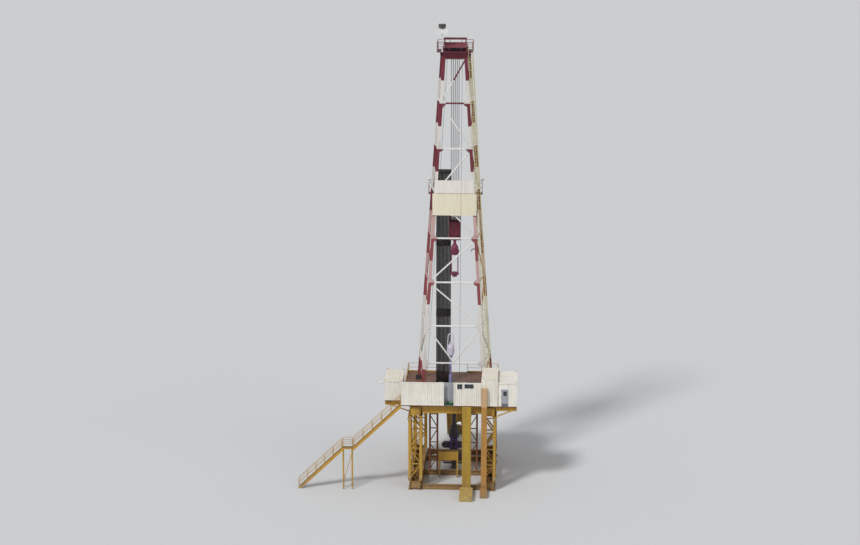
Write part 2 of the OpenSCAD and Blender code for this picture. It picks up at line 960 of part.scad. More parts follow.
// Hinge leaf: a knuckle on the pin's line and a strap back to the face of the wall or the door
module hinge_leaf(z, h, strap) {
    translate([0, 0, z])
        cylinder(h = h, r = hinge_r, $fn = 32);
    translate([strap > 0 ? 0 : strap, hinge_out - 10, z])
        cube([abs(strap), 10, h]);
    translate([-4, 0, z])
        cube([8, hinge_out - 4, h]);
}

module doghouse_walls() {
    color(CREAM)
        translate([hinge_x, dog_y - hinge_out, floor_z])
            for (z = hinge_zs) {
                hinge_leaf(z - knuckle_h - seat, knuckle_h, -70);
                translate([0, 0, z - 10])
                    cylinder(h = knuckle_h + 10, r = hinge_pin_r, $fn = 32);
            }
    color(CREAM)
        translate([dog_x, dog_y, floor_z])
            difference() {
                cabin_shell(dog_w, dog_l, dog_h, cabin_t);
                translate([dog_door_x, -10, -10])
                    cube([door_w, cabin_t + 20, door_open_h + 10]);
                translate([-10, dog_window_y, dog_window_z])
                    cube([cabin_t + 20, dog_window_w, dog_window_h]);
            }
}

module doghouse_floor() {
    color(STEEL)
        translate([dog_x, dog_y, deck_under])
            cube([dog_w, dog_l, cabin_floor_t]);
}

module doghouse_roof() {
    color(CREAM)
        translate([dog_x - roof_over, dog_y - roof_over, floor_z + dog_h])
            cube([dog_w + 2 * roof_over, dog_l + 2 * roof_over, roof_t]);
}

// Door leaf in the doghouse's rear wall, with a window; it swings out on its left edge
door_gap = 6;
door_t = 40;
door_pane = [110, 640, 180, 260];
module doghouse_door() {
    color(STEEL)
        translate([hinge_x, dog_y - hinge_out, floor_z])
            difference() {
                for (z = hinge_zs)
                    hinge_leaf(z, knuckle_h, 90);
                for (z = hinge_zs)
                    translate([0, 0, z - 5])
                        cylinder(h = knuckle_h + 10, r = hinge_pin_r + seat, $fn = 32);
            }
    color(STEEL)
        translate([dog_x + dog_door_x + door_gap, dog_y, floor_z + door_gap])
            difference() {
                cube([door_w - 2 * door_gap, door_t, door_open_h - 2 * door_gap]);
                translate([door_pane[0], -10, door_pane[1]])
                    cube([door_pane[2], door_t + 20, door_pane[3]]);
            }
}

left_cabin_x = -deck_left - left_cabin_w;
left_door_y = 300;

module left_cabin_walls() {
    color(CREAM)
        translate([left_cabin_x, left_cabin_y, floor_z])
            difference() {
                cabin_shell(left_cabin_w - seat, left_cabin_l, left_cabin_h, cabin_t);
                translate([left_cabin_w - cabin_t - 10, left_door_y, -10])
                    cube([cabin_t + 20, door_w, door_open_h + 10]);
            }
}

module left_cabin_floor() {
    color(STEEL)
        translate([left_cabin_x, left_cabin_y, deck_under])
            cube([left_cabin_w - seat, left_cabin_l, cabin_floor_t]);
}

module left_cabin_roof() {
    color(CREAM)
        translate([left_cabin_x - roof_over, left_cabin_y - roof_over, floor_z + left_cabin_h])
            cube([left_cabin_w + 2 * roof_over, left_cabin_l + 2 * roof_over, roof_t]);
}

module left_cabin_door() {
    color(STEEL)
        translate([left_cabin_x + left_cabin_w - cabin_t, left_cabin_y + left_door_y + 2, floor_z + seat])
            cube([40, door_w - 4, door_open_h - 4]);
}

// Shoes on the deck that the four mast legs stand in
leg_z0 = floor_z + shoe_h;

module mast_shoes() {
    color(DARK)
        for (side = [-1, 1], p = [rear(side, leg_z0), front(side, leg_z0)])
            translate([p[0], p[1], floor_z]) {
                translate([-210, -210, 0])
                    cube([420, 420, 40]);
                translate([-130, -130, 30])
                    cube([260, 260, shoe_h - 30 - seat]);
                for (x = [-190, 150])
                    translate([x, -100, 30])
                        cube([40, 200, shoe_h - 60]);
                translate([-200, 0, shoe_h * 0.55])
                    rotate([0, 90, 0])
                        cylinder(h = 400, d = 90, $fn = 32);
            }
}

// Bar between the flanges of a rear and a front leg
module side_bar(a, b, d) {
    v = b - a;
    trim = leg_s * 0.42 / norm([v[0], v[1]]);
    bar(a + v * trim, b - v * trim, d);
}

// Places things at a height on a leg whose centre line runs from a to b, square to the leg
module on_leg(a, b, z) {
    v = b - a;
    translate(a + v * (z - a[2]) / v[2])
        along(v)
            children();
}

gusset_t = 14;
gusset_w = 170;
gusset_h = 400;
splice_t = 16;
splice_h = 360;
splice_up = 300;

// Gusset plate that reaches inward from a leg's rear flange, behind the bars that meet there
module gusset(side) {
    translate([0, -leg_s / 2 + gusset_t + 2, 0])
        rotate([90, 0, 0])
            linear_extrude(gusset_t)
                polygon([
                    for (p = [[-0.1, -0.5], [0, -0.5], [1, -0.22], [1, 0.22], [0, 0.5], [-0.1, 0.5]])
                        [-side * (leg_s / 2 + p[0] * gusset_w), p[1] * gusset_h]
                ]);
}

// Pinned splice between two lengths of a leg: a plate on each flange with four bolts
module splice() {
    for (e = [-1, 1]) {
        translate([-leg_s / 2 + 12, e * (leg_s / 2 + splice_t / 2 - 1) - splice_t / 2, -splice_h / 2])
            cube([leg_s - 24, splice_t, splice_h]);
        for (x = [-0.25, 0.25], z = [-0.32, 0.32])
            translate([x * leg_s, e * (leg_s / 2 + 8), z * splice_h])
                rotate([90, 0, 0])
                    cylinder(h = 36, d = 34, $fn = 6, center = true);
    }
}

// One side of the mast: rear and front leg with level bars and a zigzag between them
module mast_side(side) {
    between_z(leg_z0, mast_top_z) {
        union() {
            mast_leg(rear(side, floor_z), rear(side, mast_top_z));
            mast_leg(front(side, floor_z), front(side, mast_top_z));
            for (i = [0:girt_n - 2])
                on_leg(rear(side, floor_z), rear(side, mast_top_z), bar_z(i))
                    gusset(side);
            for (i = [1:2:girt_n - 2]) {
                z = girt_z(i) + splice_up;
                on_leg(rear(side, floor_z), rear(side, mast_top_z), z)
                    splice();
                on_leg(front(side, floor_z), front(side, mast_top_z), z)
                    splice();
            }
            for (i = [0:girt_n - 1])
                side_bar(rear(side, bar_z(i)), front(side, bar_z(i)), girt_s);
            side_bar(rear(side, leg_z0 + 100), front(side, door_z - bar_step), brace_d);
            for (i = [0:girt_n - 2]) {
                z0 = girt_z(i) + bar_step;
                z1 = girt_z(i + 1) - bar_step;
                if (i % 2)
                    side_bar(rear(side, z0), front(side, z1), brace_d);
                else
                    side_bar(front(side, z0), rear(side, z1), brace_d);
            }
        }
    }
}

module mast_left_side() {
    color(LEG_RED)
        mast_side(-1);
}

module mast_right_side() {
    color(LEG_RED)
        mast_side(1);
}

// Rear face: level bars and single diagonals, with a V in the lowest bay, between the rear legs
module mast_rear_bracing() {
    color(WHITE)
        difference() {
            union() {
                for (i = [0:girt_n - 1])
                    bar(rear(-1, bar_z(i)), rear(1, bar_z(i)), girt_s);
                vee = [0, rear(1, door_z)[1], door_z + 50];
                for (side = [-1, 1])
                    bar(rear(side, girt_z(1) - bar_step), vee, brace_d);
                for (i = [1:girt_n - 2]) {
                    side = i % 2 ? 1 : -1;
                    bar(rear(side, girt_z(i) + bar_step), rear(-side, girt_z(i + 1) - bar_step), brace_d);
                }
            }
            for (side = [-1, 1])
                web_space(side, leg_s);
        }
}

// Crown beams on the leg tops, with the bearings for the sheave pin
crown_front_x = front(1, mast_top_z)[0] + leg_s / 2 + 20;
crown_rear_x = rear_top_x + leg_s / 2;
crown_beam_w = 150;
bearing_x = fast_x + 150;
bearing_up = 100;
pin_r = 50;

module crown_frame() {
    color(LEG_RED)
        translate([0, 0, mast_top_z]) {
            for (end = [[-top_y, crown_rear_x], [top_y, crown_front_x]])
                translate([-end[1], end[0], 0])
                    beam_x(2 * end[1], crown_beam_w, crown_beam_h);
            for (x = [-bearing_x, bearing_x])
                translate([x, 0, 0]) {
                    translate([0, -top_y, 0])
                        beam_y(2 * top_y, crown_beam_w, crown_beam_h);
                    difference() {
                        translate([-60, -130, crown_beam_h - 1])
                            cube([120, 260, crown_pin_z - crown_top_z + bearing_up + 1]);
                        translate([-70, 0, crown_pin_z - mast_top_z])
                            rotate([0, 90, 0])
                                cylinder(h = 140, r = pin_r + seat, $fn = 48);
                    }
                }
        }
}

// Rope sheave with a grooved rim, its axle along X
module sheave() {
    r = sheave_d / 2;
    rotate([0, 90, 0])
        translate([0, 0, -sheave_t / 2])
            rotate_extrude($fn = 72)
                polygon([
                    [0, 0], [110, 0], [110, 20], [r - 60, 24], [r - 60, 0], [r, 0], [r, 14],
                    [r - groove_d, sheave_t / 2 - 8], [r - groove_d, sheave_t / 2 + 8],
                    [r, sheave_t - 14], [r, sheave_t], [r - 60, sheave_t],
                    [r - 60, sheave_t - 24], [110, sheave_t - 20], [110, sheave_t], [0, sheave_t]
                ]);
}

module sheave_row(z) {
    for (i = [0:sheave_n - 1])
        translate([(i - (sheave_n - 1) / 2) * sheave_pitch, 0, z])
            sheave();
}

module crown_sheaves() {
    l = bearing_x + 90;
    color(DARK) {
        sheave_row(crown_pin_z);
        for (x = [-fast_x, fast_x])
            translate([x, 0, crown_pin_z])
                sheave();
        translate([-l, 0, crown_pin_z])
            rotate([0, 90, 0])
                cylinder(h = 2 * l, r = pin_r, $fn = 48);
    }
}

// Walkway round the crown with rails, and the red frame that straddles the sheaves
crown_walk = 140;
crown_deck_t = 30;
crown_post_gap = 700;
hatch_l = 380;

module crown_platform() {
    hx = crown_front_x + crown_walk;
    hy = top_y + crown_beam_w / 2 + crown_walk;
    z = crown_top_z;
    open_x = bearing_x + 110;
    open_y = top_y - 110;
    frame_z = crown_pin_z + sheave_d / 2 + 290;
    ladder_x = rear(1, crown_top_z)[0] + ladder_off - 40;
    ladder_y = rear(1, crown_top_z)[1];
    rail_x = hx - 20;
    rail_y = hy - 20;
    color(LEG_RED) {
        difference() {
            translate([-hx, -hy, z])
                cube([2 * hx, 2 * hy, crown_deck_t]);
            translate([-open_x, -open_y, z - 10])
                cube([2 * open_x, 2 * open_y, crown_deck_t + 20]);
            translate([ladder_x, ladder_y - hatch_l / 2, z - 10])
                cube([hx, hatch_l, crown_deck_t + 20]);
        }
        rail_z = z + crown_deck_t;
        for (s = [-1, 1])
            handrail([-rail_x, s * rail_y, rail_z], [rail_x, s * rail_y, rail_z], crown_post_gap);
        side_y = rail_y - rail_gap;
        handrail([-rail_x, -side_y, rail_z], [-rail_x, side_y, rail_z], crown_post_gap);
        hatch_y = ladder_y + hatch_l / 2 + rail_d;
        handrail([rail_x, hatch_y, rail_z], [rail_x, side_y, rail_z], crown_post_gap);
        for (s = [-1, 1])
            translate([s * (open_x + 30), 0, 0]) {
                for (e = [-1, 1]) {
                    y = e * (open_y + 20);
                    translate([-60, y - 60, rail_z])
                        cube([120, 120, 20]);
                    bar([0, y, rail_z + 20], [-s * 120, 0, frame_z], 70);
                }
            }
        bar([-open_x, 0, frame_z], [open_x, 0, frame_z], 100);
    }
}

// Hood of bent sheet over the crown sheaves, standing on the bearings
guard_t = 16;
guard_gap = 40;

module sheave_guard() {
    r = sheave_d / 2 + guard_gap + guard_t;
    half = bearing_x + 30;
    z0 = crown_pin_z + bearing_up + seat;
    color(LEG_RED)
        difference() {
            translate([-half, 0, crown_pin_z])
                rotate([0, 90, 0])
                    cylinder(h = 2 * half, r = r, $fn = 72);
            translate([-half + guard_t, 0, crown_pin_z])
                rotate([0, 90, 0])
                    cylinder(h = 2 * (half - guard_t), r = r - guard_t, $fn = 72);
            translate([-half - 10, -r - 10, crown_pin_z - r - 10])
                cube([2 * half + 20, 2 * r + 20, r + 10 + z0 - crown_pin_z]);
        }
}

// White box with a dark lamp on a post at the crown's left
lamp_post_h = 1020;
lamp_box_z = crown_top_z + crown_deck_t + lamp_post_h;
lamp_box = [720, 260, 300];
lamp_x = -730;
lamp_d = 420;
lamp_h = 250;

module crown_lamp_box() {
    z = crown_top_z + crown_deck_t + seat;
    y = -top_y - 90;
    color(WHITE)
        translate([lamp_x, y, 0]) {
            translate([-70, -70, z])
                cube([140, 140, 20]);
            translate([-30, -30, z])
                cube([60, 60, lamp_box_z - z + 10]);
            translate([-lamp_box[0] / 2, -lamp_box[1] / 2, lamp_box_z])
                cube(lamp_box);
            translate([0, 0, lamp_box_z + lamp_box[2] - 1])
                cylinder(h = lamp_h * 0.25, d = lamp_d * 0.5, $fn = 40);
            translate([0, 0, lamp_box_z + lamp_box[2] + lamp_h * 0.2])
                cylinder(h = lamp_h * 0.8, d = lamp_d, $fn = 48);
        }
}

// Racking board in front of the mast: walkway with fingers reaching back between the stands
board_t = 60;
board_l = 420;
board_y = front(1, board_z)[1] + leg_s / 2 - 12;
rack_x0 = -1080;
rack_cols = 11;
rack_rows = 6;
rack_y0 = 500;
finger_w = 12;

module finger_row(x0) {
    for (i = [0:rack_cols])
        translate([x0 + (i - 0.5) * pipe_pitch - finger_w / 2, rack_y0 - 50, board_z - board_t])
            cube([finger_w, board_y - rack_y0 + 60, board_t]);
}

module racking_board() {
    color(RUST_BROWN) {
        difference() {
            translate([-board_x, board_y, board_z - board_t])
                cube([2 * board_x, board_l, board_t]);
            for (side = [-1, 1])
                leg_space(side);
        }
        finger_row(rack_x0);
        finger_row(-rack_x0 - (rack_cols - 1) * pipe_pitch);
        yf = board_y + board_l - 20;
        rail_x = board_x - 20;
        handrail([-rail_x, yf, board_z], [rail_x, yf, board_z]);
        for (s = [-1, 1])
            handrail([s * rail_x, board_y + 60, board_z], [s * rail_x, yf - rail_gap, board_z]);
    }
    color(RUST_BROWN)
        difference() {
            y = rear(1, board_z)[1] + 80;
            translate([-board_x, y, board_z - board_t])
                cube([2 * board_x, 240, board_t]);
            for (side = [-1, 1]) {
                leg_space(side);
                x = side > 0 ? rear(1, board_z)[0] - 30 : -board_x - 10;
                translate([x, y - 10, board_z - board_t - 10])
                    cube([board_x, 260, board_t + 20]);
            }
        }
}

// Weather panel of ribbed sheet on the rear legs at the racking board, in two bands
shelter_z = 15880;
shelter_half = rear(1, shelter_z)[0] + leg_s / 2;

module shelter_panel() {
    p = rear(1, shelter_z);
    upper_h = shelter_h * 0.38;
    lower_h = shelter_h - upper_h;
    upper_half = rear(1, shelter_z + lower_h)[0] + leg_s * 0.1;
    color(CREAM)
        translate([0, p[1] - leg_s / 2 - wall_t - 1, shelter_z])
            rotate([-face_lean, 0, 0]) {
                translate([-shelter_half, 0, 0])
                    ribbed_sheet(2 * shelter_half, lower_h, wall_t);
                translate([-upper_half, 0, lower_h + 30])
                    ribbed_sheet(2 * upper_half, upper_h - 30, wall_t);
            }
}

// Stands of drill pipe racked on the left of the well
module drill_pipe() {
    color(DARK)
        for (i = [0:rack_cols - 1], j = [0:rack_rows - 1])
            translate([rack_x0 + i * pipe_pitch, rack_y0 + j * pipe_pitch, floor_z])
                cylinder(h = stand_h, d = pipe_d, $fn = 24);
}

// Ladder beside the right rear leg, from above its shoe up through the crown's hatch
ladder_w = 240;
ladder_off = leg_s / 2 + 70;
rung_gap = 150;

module mast_ladder() {
    z0 = leg_z0 + 60;
    z1 = crown_top_z + rail_h;
    color(STEEL)
        between_z(z0, z1)
            difference() {
                union() {
                    for (dx = [ladder_off, ladder_off + ladder_w])
                        bar(rear(1, floor_z) + [dx, 0, 0], rear(1, z1 + 50) + [dx, 0, 0], 40);
                    for (z = [z0 + rung_gap:rung_gap:crown_top_z])
                        translate(rear(1, z))
                            bar([ladder_off, 0, 0], [ladder_off + ladder_w, 0, 0], 22, 4);
                    for (i = [0:girt_n - 1]) {
                        z = girt_z(i) - 80;
                        bar(rear(1, z), rear(1, z) + [ladder_off, 0, 0], 50, 4);
                    }
                }
                web_space(1);
            }
}

// Standpipe up the inside of the right side of the mast, with its gooseneck
standpipe_d = 76;
standpipe_z = 13600;

function inner_right(f, z, off) = mix(rear(1, z), front(1, z), f) - [off, 0, 0];

module standpipe() {
    off = girt_s / 2 + standpipe_d / 2 + 6;
    p0 = inner_right(0.3, floor_z - 60, off);
    p1 = inner_right(0.3, standpipe_z, off);
    bend = 160;
    steps = 8;
    function arc(i) = p1 + bend * [cos(i * 180 / steps) - 1, 0, sin(i * 180 / steps)];
    color(STEEL)
        between_z(floor_z, standpipe_z + 600)
            union() {
                bar(p0, p1 + [0, 0, 10], standpipe_d, 12);
                for (i = [0:steps - 1])
                    bar(arc(i) - (arc(i + 1) - arc(i)) * 0.1, arc(i + 1), standpipe_d, 12);
            }
}

// Swivel and its bail standing on the kelly, parked in a sleeve behind the well
swivel_x = -190;
swivel_y = -880;
kelly_l = 2000;
sleeve_l = 900;
bail_h = 1300;
bail_r = 150;
bail_d = 60;
ear_up = 350;
swivel_h = 940;
neck_z = 820;
neck_r = 80;
shoulder_z = 760;
shoulder_r = 150;
body_z = [200, 620];
body_r = 190;

module swivel() {
    color(STEEL)
        translate([swivel_x, swivel_y, floor_z]) {
            cylinder(h = sleeve_l, d = 200, $fn = 32);
            cylinder(h = kelly_l + 100, d = 110, $fn = 6);
            translate([0, 0, kelly_l]) {
                rotate_extrude($fn = 48)
                    polygon([
                        [0, 0], [90, 0], [120, 80], [body_r, body_z[0]], [body_r, body_z[1]],
                        [shoulder_r, shoulder_z], [neck_r, neck_z], [neck_r, swivel_h],
                        [0, swivel_h]
                    ]);
                for (side = [-1, 1])
                    bar([side * 200, 0, ear_up], [side * bail_r, 0, bail_h], bail_d);
                translate([0, 0, bail_h])
                    rotate([90, 0, 0])
                        rotate_extrude(angle = 180, $fn = 48)
                            translate([bail_r, 0])
                                circle(d = bail_d, $fn = 24);
                for (x = [-230, 150])
                    translate([x, 0, ear_up])
                        rotate([0, 90, 0])
                            cylinder(h = 80, d = 90, $fn = 24);
            }
        }
}

// Travelling block: sheaves on their pin between two cheek plates, with the hook below
cheek_t = 40;
cheek_r = sheave_d / 2 + 26;
block_low = 1100;

module travelling_block() {
    color(LEG_RED)
        translate([0, 0, block_pin_z]) {
            for (x = [-block_w / 2, block_w / 2 - cheek_t])
                translate([x, 0, 0])
                    rotate([90, 0, 90])
                        linear_extrude(cheek_t)
                            hull() {
                                circle(cheek_r, $fn = 72);
                                translate([0, -block_low + 120])
                                    circle(150, $fn = 48);
                            }
            rotate([0, 90, 0])
                translate([0, 0, -block_w / 2 - 20])
                    cylinder(h = block_w + 40, r = pin_r + 10, $fn = 48);
            translate([-block_w / 2 + 10, -120, -block_low])
                cube([block_w - 20, 240, 360]);
            for (y = [-cheek_r + 8, cheek_r - 28])
                translate([-block_w / 2 + 10, y, -30])
                    cube([block_w - 20, 20, 60]);
        }
    color(DARK)
        sheave_row(block_pin_z);
}

hook_z = block_pin_z - block_low;
elevator_drop = 2200;
elevator_z = hook_z - elevator_drop;

module hook() {
    link_x = 190;
    color(LEG_RED) {
        translate([0, 0, hook_z - 300])
            cylinder(h = 300 - seat, d = 180, $fn = 48);
        translate([0, 0, hook_z - 900])
            rotate_extrude($fn = 48)
                polygon([[0, 0], [130, 0], [210, 120], [210, 480], [130, 640], [0, 640]]);
        translate([-260, -70, hook_z - 760])
            cube([520, 140, 150]);
    }
    color(STEEL) {
        for (x = [-link_x, link_x])
            bar([x, 0, hook_z - 640], [x, 0, elevator_z + 160], 64, 8);
        difference() {
            translate([0, 0, elevator_z])
                cylinder(h = 260, d = 300, $fn = 48);
            translate([0, 0, elevator_z - 5])
                cylinder(h = 270, d = pipe_d + 16, $fn = 32);
        }
        for (side = [-1, 1])
            translate([side > 0 ? 100 : -250, -50, elevator_z + 100])
                cube([150, 100, 110]);
    }
}

// Drilling lines between the crown and the travelling block
module drilling_lines() {
    color(STEEL)
        for (i = [0:sheave_n - 1], y = [-rope_y, rope_y])
            translate([(i - (sheave_n - 1) / 2) * sheave_pitch, y, block_pin_z])
                cylinder(h = crown_pin_z - block_pin_z, d = rope_d, $fn = 8);
}

// Fast line on the common tangent of its sheave and the drum, and dead line to its anchor
drum_rope_r = drum_r + rope_d / 2 + seat;
to_crown = [-drum_y, crown_pin_z - drum_z];
tangent_a = atan2(to_crown[1], to_crown[0]) + acos((drum_rope_r - rope_y) / norm(to_crown));
anchor_h = 240;
dead_foot = [-1640, -520, floor_z + anchor_h];

function fast_end(y, z, r) = [fast_x, y + r * cos(tangent_a), z + r * sin(tangent_a)];

module fast_and_dead_lines() {
    color(STEEL) {
        bar(fast_end(drum_y, drum_z, drum_rope_r), fast_end(0, crown_pin_z, rope_y), rope_d, 8);
        bar(dead_foot, [-fast_x, -rope_y, crown_pin_z], rope_d, 8);
        translate([dead_foot[0] - 90, dead_foot[1] - 90, floor_z])
            cube([180, 180, anchor_h + 10]);
    }
}

base_boxes();
base_cross_beams();
rear_leg_towers();
front_leg_towers();
side_braces();
floor_boxes();
floor_beams();
inner_frames();
bop_stack();
bell_nipple();
bop_work_stand();
cable_trough();
pipe_chase();
side_outriggers();
drill_floor();
rotary_table();
rear_wall_left();
rear_wall_right();
recess_panel();
wall_windows();
side_canopy();
floor_handrails();
air_winch();
upper_stair();
lower_stair();
stair_landing();
v_door_ramp();
drawworks();
drawworks_drum();
left_cabin_walls();
left_cabin_roof();
left_cabin_floor();
left_cabin_door();
doghouse_walls();
doghouse_roof();
doghouse_floor();
doghouse_door();
mast_shoes();
mast_left_side();
mast_right_side();
mast_rear_bracing();
crown_frame();
crown_sheaves();
crown_platform();
sheave_guard();
crown_lamp_box();
racking_board();
shelter_panel();
drill_pipe();
mast_ladder();
standpipe();
swivel();
travelling_block();
hook();
drilling_lines();
fast_and_dead_lines();
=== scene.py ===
"""Finish and fine detail of a half-size land drilling rig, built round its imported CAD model.

Metres. +Z is up, +Y points to the pipe ramp, +X is right seen from behind the drawworks, and the
origin is the well centre on the ground.
"""

import math

import bmesh
import bpy
from mathutils import Matrix, Vector


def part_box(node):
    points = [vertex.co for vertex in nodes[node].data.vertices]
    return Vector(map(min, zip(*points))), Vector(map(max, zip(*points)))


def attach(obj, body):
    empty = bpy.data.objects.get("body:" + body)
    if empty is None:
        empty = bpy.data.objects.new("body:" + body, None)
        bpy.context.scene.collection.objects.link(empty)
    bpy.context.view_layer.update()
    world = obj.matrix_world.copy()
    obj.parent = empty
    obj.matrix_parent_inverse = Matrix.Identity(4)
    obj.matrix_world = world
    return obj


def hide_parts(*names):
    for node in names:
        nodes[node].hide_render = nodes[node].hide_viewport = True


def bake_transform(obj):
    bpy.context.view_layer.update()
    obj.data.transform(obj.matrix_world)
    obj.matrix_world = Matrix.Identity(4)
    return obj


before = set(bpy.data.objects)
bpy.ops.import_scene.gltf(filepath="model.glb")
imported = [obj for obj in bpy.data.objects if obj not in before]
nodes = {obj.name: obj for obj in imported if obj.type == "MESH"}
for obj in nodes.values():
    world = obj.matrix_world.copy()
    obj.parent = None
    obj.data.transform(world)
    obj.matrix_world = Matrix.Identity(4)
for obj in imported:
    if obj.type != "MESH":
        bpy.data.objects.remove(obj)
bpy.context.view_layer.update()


# Camera, floor and light
# The view is the photograph's: high up behind the drawworks and a little to the right.
# The real camera stood about 200 m away and 74 m up, which is half of that at this scale.

camera_place = Vector((3.4, -101.2, 37.1))
camera_aim = Vector((-1.4, -1.2, 12.5))
sensor_w = 36.0
view_angle = math.radians(27.4)

camera = bpy.data.objects.new("camera", bpy.data.cameras.new("camera"))
camera.data.lens = sensor_w / (2 * math.tan(view_angle / 2))
camera.data.clip_start = 1.0
camera.data.clip_end = 3000.0
camera.location = camera_place
camera.rotation_euler = (camera_aim - camera_place).to_track_quat("-Z", "Y").to_euler()
bpy.context.scene.collection.objects.link(camera)
bpy.context.scene.camera = camera


def lamp(name, strength, direction, spread):
    """A soft sun that shines along a direction."""
    light = bpy.data.lights.new(name, "SUN")
    light.energy = strength
    light.angle = math.radians(spread)
    holder = bpy.data.objects.new(name, light)
    holder.rotation_euler = Vector(direction).to_track_quat("-Z", "Y").to_euler()
    bpy.context.scene.collection.objects.link(holder)


lamp("key_light", 1.9, (0.55, 0.75, -1.0), 10)
lamp("fill_light", 0.35, (-0.8, 0.5, -0.6), 40)


def plain(name, looks):
    """A paint of one colour, given as values of the Principled shader."""
    paint = bpy.data.materials.new(name)
    paint.use_nodes = True
    for socket, value in looks.items():
        paint.node_tree.nodes["Principled BSDF"].inputs[socket].default_value = value
    return paint


floor_half = 900.0
under_feet = -0.004
floor_mesh = bmesh.new()
bmesh.ops.create_grid(floor_mesh, x_segments=1, y_segments=1, size=floor_half)
bmesh.ops.translate(floor_mesh, verts=floor_mesh.verts, vec=(0, 0, under_feet))
studio_floor = bpy.data.objects.new("studio_floor", bpy.data.meshes.new("studio_floor"))
floor_mesh.to_mesh(studio_floor.data)
floor_mesh.free()
bpy.context.scene.collection.objects.link(studio_floor)
floor_looks = {"Base Color": (0.66, 0.665, 0.67, 1), "Roughness": 0.9, "Specular IOR Level": 0.1}
studio_floor.data.materials.append(plain("studio_floor", floor_looks))


def worked(tree, operation, *values):
    """Adds a Math node on numbers or other nodes' outputs, and returns its result."""
    node = tree.nodes.new("ShaderNodeMath")
    node.operation = operation
    for socket, value in zip(node.inputs, values):
        if isinstance(value, (int, float)):
            socket.default_value = value
        else:
            tree.links.new(value, socket)
    return node.outputs[0]


def largest(tree, values):
    """The largest of several outputs."""
    most = values[0]
    for value in values[1:]:
        most = worked(tree, "MAXIMUM", most, value)
    return most


world = bpy.data.worlds.new("studio")
bpy.context.scene.world = world
world.use_nodes = True
sky_tree = world.node_tree
sky = sky_tree.nodes["Background"]
sky.inputs["Color"].default_value = (0.95, 0.97, 1.0, 1)
sky.inputs["Strength"].default_value = 0.42
seen_sky = sky_tree.nodes.new("ShaderNodeEmission")
seen_sky.inputs["Color"].default_value = (0.70, 0.71, 0.72, 1)
ray = sky_tree.nodes.new("ShaderNodeLightPath").outputs
seen = largest(sky_tree, [ray["Is %s Ray" % kind] for kind in ("Camera", "Glossy", "Transmission")])
sky_mix = sky_tree.nodes.new("ShaderNodeMixShader")
sky_tree.links.new(seen, sky_mix.inputs["Fac"])
sky_tree.links.new(sky.outputs[0], sky_mix.inputs[1])
sky_tree.links.new(seen_sky.outputs[0], sky_mix.inputs[2])
sky_tree.links.new(sky_mix.outputs[0], sky_tree.nodes["World Output"].inputs["Surface"])
bpy.context.scene.view_settings.view_transform = "Standard"


# Substructure
# Welded boxes and H columns in weathered ochre paint, stood on the ground and pinned together
# through plates at both ends of each column. The boxes have lifting lugs along their sides.


def parts(tree, vector):
    """The X, Y and Z of a vector."""
    split = tree.nodes.new("ShaderNodeSeparateXYZ")
    tree.links.new(vector, split.inputs[0])
    return split.outputs


def ramp(tree, value, low, high, top=1.0, bottom=0.0):
    """Goes from bottom to top as a value goes from low to high."""
    stretch = tree.nodes.new("ShaderNodeMapRange")
    stretch.inputs["From Min"].default_value = low
    stretch.inputs["From Max"].default_value = high
    stretch.inputs["To Min"].default_value = bottom
    stretch.inputs["To Max"].default_value = top
    tree.links.new(value, stretch.inputs["Value"])
    return stretch.outputs["Result"]


def mixed(tree, share, first, second):
    """Goes from one colour to another as a share goes from 0 to 1."""
    mix = tree.nodes.new("ShaderNodeMix")
    mix.data_type = "RGBA"
    tree.links.new(share, mix.inputs[0])
    for socket, color in ((mix.inputs[6], first), (mix.inputs[7], second)):
        if isinstance(color, tuple):
            socket.default_value = (*color, 1)
        else:
            tree.links.new(color, socket)
    return mix.outputs[2]


def weathered(name, color, stain, rust=0.3, rough=0.5, streak=0.35, metal=0.0, bump=0.12):
    """Old paint: patches, stains that run down, rust that breaks through, and mud at its foot.

    The colour is a plain one, or a function that makes one from the place on the object.
    """
    paint = bpy.data.materials.new(name)
    paint.use_nodes = True
    tree = paint.node_tree
    shader = tree.nodes["Principled BSDF"]
    place = tree.nodes.new("ShaderNodeTexCoord").outputs["Object"]

    def noise(scale, detail, stretch=(1, 1, 1)):
        mapping = tree.nodes.new("ShaderNodeMapping")
        mapping.inputs["Scale"].default_value = stretch
        tree.links.new(place, mapping.inputs["Vector"])
        texture = tree.nodes.new("ShaderNodeTexNoise")
        texture.inputs["Scale"].default_value = scale
        texture.inputs["Detail"].default_value = detail
        tree.links.new(mapping.outputs[0], texture.inputs["Vector"])
        return texture.outputs["Fac"]

    if isinstance(color, tuple):
        pale = tuple(min(1.0, c * 1.2 + 0.02) for c in color)
        base = mixed(tree, ramp(tree, noise(1.7, 5), 0.3, 0.75, 0.5), color, pale)
    else:
        base = color(tree, place)
    runs = ramp(tree, noise(3.4, 7, (2.6, 2.6, 0.16)), 0.46, 0.8, streak)
    stained = mixed(tree, runs, base, stain)
    fleck = noise(13.0, 12, (1, 1, 0.6))
    spots = ramp(tree, fleck, 0.72 - 0.1 * rust, 0.8 - 0.08 * rust, 0.8)
    rusty = mixed(tree, spots, stained, (0.15, 0.06, 0.025))
    near_ground = ramp(tree, parts(tree, place)["Z"], 1.1, 0.0, 0.75)
    splashed = worked(tree, "MULTIPLY", near_ground, ramp(tree, noise(5.0, 6), 0.25, 0.6))
    muddy = mixed(tree, splashed, rusty, (0.24, 0.18, 0.12))
    tree.links.new(muddy, shader.inputs["Base Color"])
    dull = ramp(tree, noise(6.5, 6), 0.2, 0.8, rough + 0.3, rough - 0.12)
    tree.links.new(dull, shader.inputs["Roughness"])
    relief = tree.nodes.new("ShaderNodeBump")
    relief.inputs["Strength"].default_value = bump
    relief.inputs["Distance"].default_value = 0.01
    tree.links.new(noise(22.0, 8), relief.inputs["Height"])
    tree.links.new(relief.outputs[0], shader.inputs["Normal"])
    shader.inputs["Metallic"].default_value = metal
    return paint


